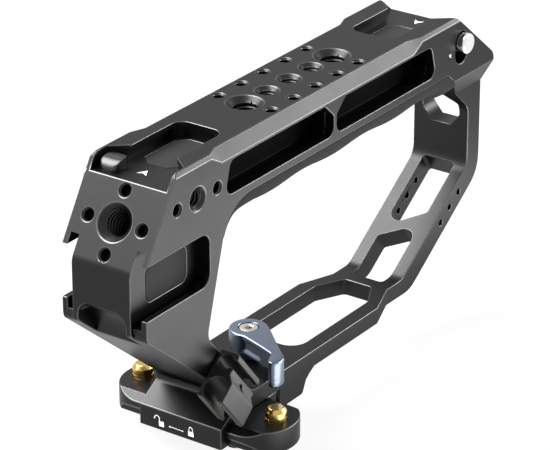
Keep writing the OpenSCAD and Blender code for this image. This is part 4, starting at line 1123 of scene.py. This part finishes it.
@dataclass
class RubberParts:
    """The grip under the bar and the rubber inserts of shoes and column."""

    grip: Grip = field(default_factory=Grip)
    insert_rounding: EdgeRounding = field(default_factory=lambda: EdgeRounding(width=0.18 * MM))

    def build(self) -> None:
        """Builds every rubber piece."""
        self.grip.build()
        for place in ("column_pad_left", "column_pad_right", "shoe_pad_front", "shoe_pad_rear"):
            insert = self.insert_rounding.copy(place, place.replace("_pad_", "_insert_"))
            dress(insert, Body.HANDLE, Slot.INSERT, INSERT, place)


@dataclass(frozen=True)
class PressSpring:
    """A steel coil under a sprung pin, built at its rest length."""

    radius: float
    low: float
    high: float
    travel: float
    turns: float
    wire_r: float = 0.25

    def build(self, name: str, x: float, y: float, body: Body, joint: str, node: str) -> None:
        """Winds the coil on its seat.

        Args:
            name: The piece's name.
            x: Place of the coil's axis, in millimetres.
            y: The same, along the handle.
            body: The body that the coil's foot rides on.
            joint: Not used.
            node: The CAD node that it stands for.
        """
        steel = TurnedMetal("spring_steel", (0.55, 0.55, 0.56), (0, 0, 0), roughness=0.25,
                            line_depth=0.001 * MM)
        length = self.high - self.low
        coil = WoundTree.wind(name, [((x, y, self.low + self.wire_r), UP)], steel, Radius=self.radius * MM,
                              Wire=self.wire_r * MM, Rise=(length - 2 * self.wire_r) * MM, Turns=self.turns,
                              Steps=24, Sides=8, Smooth=True)
        dress(coil, body, Slot.SPRING, steel, node)
        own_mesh(coil)


@dataclass
class ShoeLock:
    """One shoe lock: pin, thumb knob and spring."""

    rear: bool
    lock_x: float = 9.3
    lock_y: float = -33.8
    knob_z: float = 92.5
    knob_r: float = 3.5
    stem_r: float = 1.5
    inner_x: float = 13.15
    face_x: float = 18.95
    pin_r: float = 3.42
    pin_top: float = 100.35
    rear_drop: float = 1.5
    pin_low: float = 88.2
    pin_square: float = 3.4
    ramp_h: float = 2.9
    rim_round: float = 0.95
    bore_r: float = 3.1
    bore_top: float = 89.1
    spring: PressSpring = PressSpring(radius=2.05, low=82.65, high=89.0, travel=3.7, turns=5.0)
    shoe_mid_y: float = 44.1

    def build(self) -> None:
        """Builds the lock's pieces."""
        name = "rear" if self.rear else "front"
        body = Body.LOCK_REAR if self.rear else Body.LOCK_FRONT
        half_turn = at(0, 2 * self.shoe_mid_y, 0, turn_about("Z", 180)) if self.rear else Matrix.Identity(4)
        pin = lofted(f"shoe_pin_{name}", self._pin_loops(), half_turn @ at(-self.lock_x, self.lock_y, 0))
        dress(pin, body, Slot.DARK_STEEL, DARK_STEEL, f"lock_pin_{name}")
        place = half_turn @ at(0, self.lock_y, self.knob_z, turn_about("Y", -90))
        rings = [Ring(self.stem_r, self.lock_x - 1.5), Ring(self.stem_r, self.inner_x),
                 Ring(self.knob_r - 0.3, self.inner_x), Ring(self.knob_r, self.inner_x + 0.3)]
        rings += [Ring(self.knob_r - self.rim_round * (1 - cos(angle)),
                       self.face_x - self.rim_round * (1 - sin(angle)))
                  for angle in (radians(step * 11.25) for step in range(9))]
        rings.append(Ring(self.knob_r - self.rim_round - 0.5, self.face_x - 0.01))
        knob = turned(f"thumb_knob_{name}", rings, place, count=64, smooth_angle=radians(50))
        x, y, z = place.translation
        chrome = TurnedMetal(f"bright_chrome_{name}", (0.80, 0.80, 0.82), (x, y, z), (0.0, radians(90), 0.0),
                             roughness=0.14, line_depth=0.0, stain=0.95)
        dress(knob, body, Slot.CHROME, chrome, f"lock_knob_{name}")
        foot = (self.lock_x, 2 * self.shoe_mid_y - self.lock_y) if self.rear else (-self.lock_x, self.lock_y)
        self.spring.build(f"lock_coil_{name}", *foot, Body.HANDLE, f"lock_{name}_press",
                          f"lock_spring_{name}")

    def _pin_loops(self) -> list[list[Point]]:
        """The pin's loops: a rounded block with a rounded ramp at its front and a bore from below."""
        top = self.pin_top - (self.rear_drop if self.rear else 0.0)
        loops = []
        rounds = ((self.bore_r, self.bore_top), (self.bore_r, self.pin_low),
                  (self.pin_r - 0.3, self.pin_low), (self.pin_r, self.pin_low + 0.3))
        for radius, z in rounds:
            loops.append(self._pin_loop(radius, 2.0, 0.0, z))
        for step in range(9):
            turn = radians(90 * step / 8)
            ramp = (self.pin_r + 0.4) * (1 - cos(turn))
            high = top - self.ramp_h * (1 - sin(turn))
            loops.append(self._pin_loop(self.pin_r, self.pin_square, ramp, high))
        loops.append(self._pin_loop(self.pin_r - 0.35, self.pin_square, self.pin_r + 0.35, top + 0.12))
        return loops

    def _pin_loop(self, radius: float, power: float, ramp: float, z: float) -> list[Point]:
        """One loop between a circle and a square, pushed back at its front by the ramp."""
        loop = []
        for index in range(48):
            angle = tau * index / 48
            reach = radius / (abs(cos(angle)) ** power + abs(sin(angle)) ** power) ** (1 / power)
            y = reach * sin(angle)
            loop.append((reach * cos(angle), max(y, ramp - radius + 0.25 * (y + radius) if ramp else y), z))
        return loop


def ease(value: float, low: float, high: float) -> float:
    """0 under low, 1 over high and smooth between."""
    share = min(max((value - low) / (high - low), 0.0), 1.0)
    return share * share * (3 - 2 * share)


@dataclass
class LeverClamp:
    """Lever, its screw and washer, the cam, the moving jaw and the cover."""

    pivot: Point = (0.0, 21.9, 0.0)
    lever_top: float = 23.7
    head_low: float = 21.65
    head_r: float = 3.15
    stem_r: float = 1.5
    stem_low: float = 14.8
    socket_r: float = 1.25
    socket_depth: float = 1.5
    lever_low: float = 14.8
    arm_low: float = 17.3
    hub_r: float = 5.85
    scoop_depth: float = 0.6
    arm_outline: tuple[Flat, ...] = (
        (-5.95, 19.9), (-5.0, 17.9), (-3.4, 16.4), (-1.3, 15.45), (0.5, 15.25), (2.4, 15.5), (4.1, 15.1),
        (7.0, 14.15), (11.1, 12.8), (14.7, 11.45), (16.6, 10.5), (17.15, 9.0), (18.1, 6.9), (19.0, 5.8),
        (20.1, 5.35), (21.1, 5.6), (21.9, 6.7), (22.1, 8.2), (21.7, 10.4), (20.6, 12.0), (19.2, 13.1),
        (15.65, 16.2), (11.8, 19.8), (7.9, 23.4), (5.4, 25.6), (3.2, 27.1), (0.8, 27.85), (-1.6, 27.75),
        (-3.7, 26.85), (-5.4, 25.0), (-6.2, 22.5))
    tip_start: Flat = (16.9, 10.3)
    tip_end: Flat = (17.6, 12.6)
    tip_share: tuple[int, int] = (11, 21)
    tip_inset: float = 0.02
    tip_overlap: float = 1.0
    cover_screw_x: float = 13.55
    cover_screw_ys: tuple[float, float] = (19.2, 26.7)
    cover_low: float = 1.0
    cover_screw_high: float = 6.35
    cover_head_r: float = 1.69
    cover_shank_r: float = 1.0

    def build(self) -> None:
        """Builds the clamp's pieces."""
        self._lever()
        self._lever_screw()
        small = EdgeRounding(width=0.15 * MM)
        steel = TurnedMetal("cam_steel", (0.50, 0.49, 0.47), (0.0, self.pivot[1] * MM, 0.0))
        dress(small.copy("lever_washer", "lever_spacer"), Body.HANDLE, Slot.PLASTIC, PLASTIC, "lever_washer")
        dress(small.copy("cam_shaft", "cam"), Body.LEVER, Slot.STAINLESS, steel, "cam_shaft")
        dress(EdgeRounding(width=0.25 * MM).copy("moving_jaw", "sliding_jaw"), Body.JAW, Slot.BLACK, BLACK,
              "moving_jaw")
        guides = small.copy("jaw_guide_pins", "guide_pins")
        dress(guides, Body.HANDLE, Slot.STAINLESS, steel, "jaw_guide_pins")
        dress(EdgeRounding(width=0.2 * MM).copy("clamp_cover", "cover_sheet"), Body.HANDLE, Slot.BLACK, BLACK,
              "clamp_cover")
        self._cover_screws(steel)

    def _lever(self) -> None:
        """Builds the lever: arm with its scoop, lowered tip and lowered hub."""
        between = [self.arm_low + 0.45 + 0.35 * step for step in range(14)]
        arm = slab("lever_arm", smooth_outline(self.arm_outline),
                   rim_levels(self.arm_low, self.lever_top, 0.35, 0.6, between), self._scoop,
                   (*self.pivot[:2], self.head_r + 0.25, self.head_low - 0.1))
        tip_points = self.arm_outline[slice(*self.tip_share)]
        tip_line = smooth_outline((self.tip_start, *tip_points, self.tip_end))
        tip = slab("lever_tip", inset_outline(tip_line, [self.tip_inset] * len(tip_line)),
                   rim_levels(self.lever_low, self.arm_low + self.tip_overlap, 0.5, 0.05))
        hub = slab("lever_hub", [(x, self.pivot[1] + y) for x, y in ring_points(self.hub_r, 0, 72)],
                   rim_levels(self.lever_low, self.arm_low + self.tip_overlap, 0.3, 0.05))
        dress(joined("clamp_lever", [arm, tip, hub]), Body.LEVER, Slot.BLUE_GREY, BLUE_GREY, "lever")

    def _scoop(self, x: float, y: float, z: float) -> float:
        """Depth of the finger scoop in the arm's front wall."""
        if y > self.pivot[1] - 4.5:
            return 0.0
        along = ease(x, 1.6, 3.4) * (1 - ease(x, 9.6, 11.8))
        up = ease(z, self.arm_low + 0.6, self.arm_low + 1.9)
        down = 1 - ease(z, self.lever_top - 2.4, self.lever_top - 1.0)
        return self.scoop_depth * along * up * down

    def _lever_screw(self) -> None:
        """Turns the lever's socket screw."""
        top = self.lever_top - 0.15
        rings = [Ring(self.stem_r, self.stem_low), Ring(self.stem_r, self.head_low + 0.05),
                 Ring(self.head_r - 0.2, self.head_low + 0.05), Ring(self.head_r, self.head_low + 0.25),
                 Ring(self.head_r, top - 0.35), Ring(self.head_r - 0.12, top - 0.1),
                 Ring(self.head_r - 0.4, top),
                 Ring(self.socket_r + 0.22, top, 6), Ring(self.socket_r, top - 0.2, 6),
                 Ring(self.socket_r, top - self.socket_depth, 6), Ring(0.3, top - self.socket_depth - 0.3)]
        screw = turned("lever_socket_screw", rings, at(*self.pivot), count=72)
        steel = TurnedMetal("screw_steel", (0.56, 0.53, 0.50), (0.0, self.pivot[1] * MM, 0.0), roughness=0.3)
        dress(screw, Body.LEVER, Slot.STAINLESS, steel, "lever_screw")

    def _cover_screws(self, steel: Finish) -> None:
        """Turns the four countersunk cover screws and joins them in one piece."""
        drafts = []
        for side in Side:
            for y in self.cover_screw_ys:
                rings = [Ring(0.25, self.cover_low + 0.9), Ring(0.75, self.cover_low + 0.7, 6),
                         Ring(0.75, self.cover_low + 0.03, 6), Ring(0.95, self.cover_low + 0.02),
                         Ring(self.cover_head_r, self.cover_low + 0.02),
                         Ring(self.cover_shank_r, self.cover_low + self.cover_head_r - self.cover_shank_r),
                         Ring(self.cover_shank_r, self.cover_screw_high - 0.3),
                         Ring(self.cover_shank_r - 0.3, self.cover_screw_high)]
                place = at(self.cover_screw_x * side.value, y, 0)
                drafts.append(turned("cover_screw", rings, place, count=36))
        dress(joined("cover_socket_screws", drafts), Body.HANDLE, Slot.STAINLESS, steel, "cover_screws")


def joined(name: str, parts: Sequence[Piece]) -> Piece:
    """Joins plain pieces into one.

    Args:
        name: The new piece's name.
        parts: The pieces, which are removed.

    Returns:
        The joined piece.
    """
    draft = bmesh.new()
    for part in parts:
        draft.from_mesh(part.data)
    mesh = bpy.data.meshes.new(name)
    draft.to_mesh(mesh)
    draft.free()
    for part in parts:
        old = part.data
        bpy.data.objects.remove(part)
        bpy.data.meshes.remove(old)
    return place_object(name, mesh)


@dataclass
class CableClip:
    """The moulded clip on the leg and its screw."""

    def build(self) -> None:
        """Builds the clip and its screw."""
        clip = EdgeRounding(width=0.35 * MM, steps=3).copy("cable_clip", "lead_clip")
        dress(clip, Body.HANDLE, Slot.PLASTIC, PLASTIC, "cable_clip")
        screw = EdgeRounding(width=0.15 * MM).copy("clip_screw", "lead_clip_screw")
        dress(screw, Body.HANDLE, Slot.DARK_STEEL, DARK_STEEL, "clip_screw")


@dataclass
class BasePlate:
    """The oblong plate with its screws, stop pins, springs and caps."""

    screw_x: float = 10.0
    screw_r: float = 3.1
    core_r: float = 2.62
    screw_low: float = -6.4
    head_low: float = 4.25
    head_r: float = 4.9
    head_top: float = 7.45
    socket_r: float = 2.4
    pitch: float = 1.27
    stop_x: float = 26.0
    stop_r: float = 3.4
    flange_r: float = 3.95
    stop_low: float = 5.6
    stop_top: float = 12.3
    stop_bevel: float = 1.1
    bevel_in: float = 0.95
    spring_hole_r: float = 2.4
    spring_hole_z: float = 9.8
    spring: PressSpring = PressSpring(radius=1.8, low=1.05, high=9.75, travel=4.2, turns=7.0)

    def build(self) -> None:
        """Builds the plate's pieces."""
        plate = EdgeRounding(width=0.35 * MM, steps=3).copy("base_plate", "oblong_plate")
        dress(plate, Body.PLATE, Slot.BLACK, BLACK, "base_plate")
        self._screws()
        for side, body, name in ((Side.LEFT, Body.STOP_LEFT, "left"), (Side.RIGHT, Body.STOP_RIGHT, "right")):
            self._stop(side, body, name)

    def _screws(self) -> None:
        """Turns both plate screws and winds their threads."""
        steel = TurnedMetal("plate_screw_steel", (0.50, 0.49, 0.47), (0.0, 0.0, 0.0), roughness=0.3)
        cores = []
        for side in Side:
            rings = [Ring(self.core_r - 0.7, self.screw_low), Ring(self.core_r, self.screw_low + 0.7),
                     Ring(self.core_r, self.head_low), Ring(self.head_r - 0.2, self.head_low),
                     Ring(self.head_r, self.head_low + 0.25), Ring(self.head_r, self.head_top - 0.3),
                     Ring(self.head_r - 0.3, self.head_top), Ring(self.socket_r + 0.2, self.head_top, 6),
                     Ring(self.socket_r, self.head_top - 0.2, 6), Ring(self.socket_r, self.head_low + 0.5, 6),
                     Ring(0.4, self.head_low + 0.2)]
            cores.append(turned("screw_core", rings, at(self.screw_x * side.value, 0, 0), count=72))
        rise = self.head_low - self.screw_low - 0.9
        starts = [((self.screw_x * side.value, 0.0, self.screw_low + 0.55), UP) for side in Side]
        thread = WoundTree.wind("screw_thread", starts, steel, Radius=(self.core_r + 0.02) * MM,
                                Wire=(self.screw_r - self.core_r - 0.02) * MM, Rise=rise * MM,
                                Turns=rise / self.pitch, Steps=40, Sides=4, Smooth=False)
        screws = joined("plate_socket_screws", [*cores, thread])
        dress(screws, Body.PLATE, Slot.STAINLESS, steel, "plate_screws")

    def _stop(self, side: Side, body: Body, name: str) -> None:
        """Turns one brass stop pin, its cap and its spring."""
        x = self.stop_x * side.value
        brass = TurnedMetal(f"turned_brass_{name}", (0.62, 0.42, 0.14), (x * MM, 0.0, 0.0), roughness=0.2,
                            line_depth=0.0005 * MM, stain=0.85)
        top, shoulder = self.stop_top, self.stop_top - self.stop_bevel
        rings = [Ring(self.spring_hole_r, self.spring_hole_z), Ring(self.spring_hole_r, self.stop_low + 0.25),
                 Ring(self.spring_hole_r + 0.25, self.stop_low), Ring(self.flange_r - 0.2, self.stop_low),
                 Ring(self.flange_r, self.stop_low + 0.2), Ring(self.flange_r, self.stop_low + 0.8),
                 Ring(self.flange_r - 0.2, self.stop_low + 1.0), Ring(self.stop_r, self.stop_low + 1.0),
                 Ring(self.stop_r, shoulder - 2.35), Ring(self.stop_r - 0.25, shoulder - 2.25),
                 Ring(self.stop_r - 0.25, shoulder - 1.85), Ring(self.stop_r, shoulder - 1.75),
                 Ring(self.stop_r, shoulder - 0.12), Ring(self.stop_r - 0.1, shoulder + 0.04),
                 Ring(self.stop_r - self.bevel_in + 0.05, top - 0.08),
                 Ring(self.stop_r - self.bevel_in - 0.12, top), Ring(0.4, top)]
        dress(turned(f"brass_stop_{name}", rings, at(x, 0, 0), count=96, smooth_angle=radians(14)), body,
              Slot.BRASS, brass, f"stop_pin_{name}")
        self.spring.build(f"stop_coil_{name}", x, 0.0, Body.PLATE, f"stop_{name}_press",
                          f"stop_spring_{name}")
        cap = EdgeRounding(width=0.15 * MM).copy(f"stop_cap_{name}", f"press_cap_{name}")
        dress(cap, Body.PLATE, Slot.DARK_STEEL, DARK_STEEL, f"stop_cap_{name}")


# Studio


@dataclass(frozen=True)
class Softbox:
    """One soft lamp: the way it lies from the object, its distance, size and brightness."""

    name: str
    towards: Point
    distance: float
    width: float
    height: float
    brightness: float
    flat: bool = False

    def build(self, centre: Vector) -> None:
        """Hangs the lamp so that it faces the centre, or lays it flat, facing up."""
        data = bpy.data.lights.new(self.name, "AREA")
        data.shape, data.size, data.size_y = "RECTANGLE", self.width, self.height
        data.energy = self.brightness * math.pi * self.width * self.height
        lamp = bpy.data.objects.new(self.name, data)
        away = Vector(self.towards).normalized()
        lamp.location = centre + away * self.distance
        lamp.rotation_euler = (math.pi, 0.0, 0.0) if self.flat else away.to_track_quat("Z", "Y").to_euler()
        lamp.visible_camera = False
        bpy.context.scene.collection.objects.link(lamp)


@dataclass(frozen=True)
class Studio:
    """Camera, lamps, world and floor."""

    centre: Point = (0.0, 0.04, 0.055)
    camera_place: Point = (0.50627, -0.68698, 0.46280)
    camera_right: Point = (0.8193, 0.5733, 0.0)
    camera_up: Point = (-0.2409, 0.3443, 0.9074)
    camera_back: Point = (0.5202, -0.7435, 0.4202)
    lens: float = 199.8
    sensor: float = 36.0
    floor_z: float = -0.00645
    floor_reach: float = 4.0
    floor_white_share: float = 0.9
    paper_share: float = 0.9
    world_diffuse: float = 0.33
    boxes: tuple[Softbox, ...] = (
        Softbox("rear_right_box", (0.60, 0.74, 0.30), 1.0, 0.7, 0.28, 17.0),
        Softbox("low_right_card", (0.818, 0.425, -0.386), 0.1528, 0.15, 0.25, 4.2, flat=True),
        Softbox("overhead_left_box", (-0.55, -0.22, 0.80), 1.0, 0.85, 0.8, 15.0),
        Softbox("front_left_box", (-0.52, -0.71, 0.45), 1.1, 0.42, 0.32, 3.4),
    )

    def build(self) -> None:
        """Sets up the whole studio."""
        self._camera()
        self._world()
        self._floor()
        for box in self.boxes:
            box.build(Vector(self.centre))
        bpy.context.scene.view_settings.view_transform = "Standard"

    def _camera(self) -> None:
        """Places the camera at the photograph's angle."""
        data = bpy.data.cameras.new("photo_camera")
        data.lens, data.sensor_width = self.lens, self.sensor
        data.clip_start, data.clip_end = 0.01, 20.0
        camera = bpy.data.objects.new("photo_camera", data)
        columns = [self.camera_right, self.camera_up, self.camera_back]
        turn = Matrix([[column[row] for column in columns] for row in range(3)]).to_4x4()
        camera.matrix_world = Matrix.Translation(self.camera_place) @ turn
        bpy.context.scene.collection.objects.link(camera)
        bpy.context.scene.camera = camera

    @staticmethod
    def _seen(bench: Bench) -> Socket:
        """1 for rays that show the background: camera, glossy and transmission."""
        rays = bench.add("ShaderNodeLightPath").outputs
        mirror = bench.math("ADD", rays["Is Glossy Ray"], rays["Is Transmission Ray"])
        return bench.math("ADD", rays["Is Camera Ray"], mirror, True)

    def _world(self) -> None:
        """White to the eye and in reflections, softer as a light."""
        world = bpy.data.worlds.new("white_room")
        world.use_nodes = True
        world.node_tree.nodes.clear()
        bench = Bench(world.node_tree)
        strength = bench.spread(self._seen(bench), self.world_diffuse, 1.0)
        ground = bench.add("ShaderNodeBackground", {"Color": opaque(WHITE), "Strength": strength})
        bench.add("ShaderNodeOutputWorld", {"Surface": ground.outputs[0]})
        bpy.context.scene.world = world

    def _floor(self) -> None:
        """A pale floor that keeps a soft shadow."""
        mesh = bpy.data.meshes.new("studio_floor")
        reach = self.floor_reach
        mesh.from_pydata([(-reach, -reach, self.floor_z), (reach, -reach, self.floor_z),
                          (reach, reach, self.floor_z), (-reach, reach, self.floor_z)], [], [(0, 1, 2, 3)])
        floor = place_object("studio_floor", mesh)
        pale = bpy.data.materials.new("studio_pale")
        pale.use_nodes = True
        pale.node_tree.nodes.clear()
        bench = Bench(pale.node_tree)
        paper = bench.add("ShaderNodeBsdfDiffuse", {"Color": opaque(WHITE, self.paper_share)})
        glow = bench.add("ShaderNodeEmission", {"Color": opaque(WHITE), "Strength": 1.0})
        share = bench.math("MULTIPLY", self._seen(bench), self.floor_white_share)
        mix = bench.add("ShaderNodeMixShader", {0: share, 1: paper.outputs[0], 2: glow.outputs[0]})
        bench.add("ShaderNodeOutputMaterial", {"Surface": mix.outputs[0]})
        floor.data.materials.append(pale)


def main() -> None:
    """Builds the studio and every sub-assembly in order."""
    logging.basicConfig(level=logging.INFO, format="%(name)s: %(message)s")
    Studio().build()
    HandleFrame().build()
    RubberParts().build()
    for rear in (False, True):
        ShoeLock(rear).build()
    LeverClamp().build()
    CableClip().build()
    BasePlate().build()


if __name__ == "__main__":
    main()
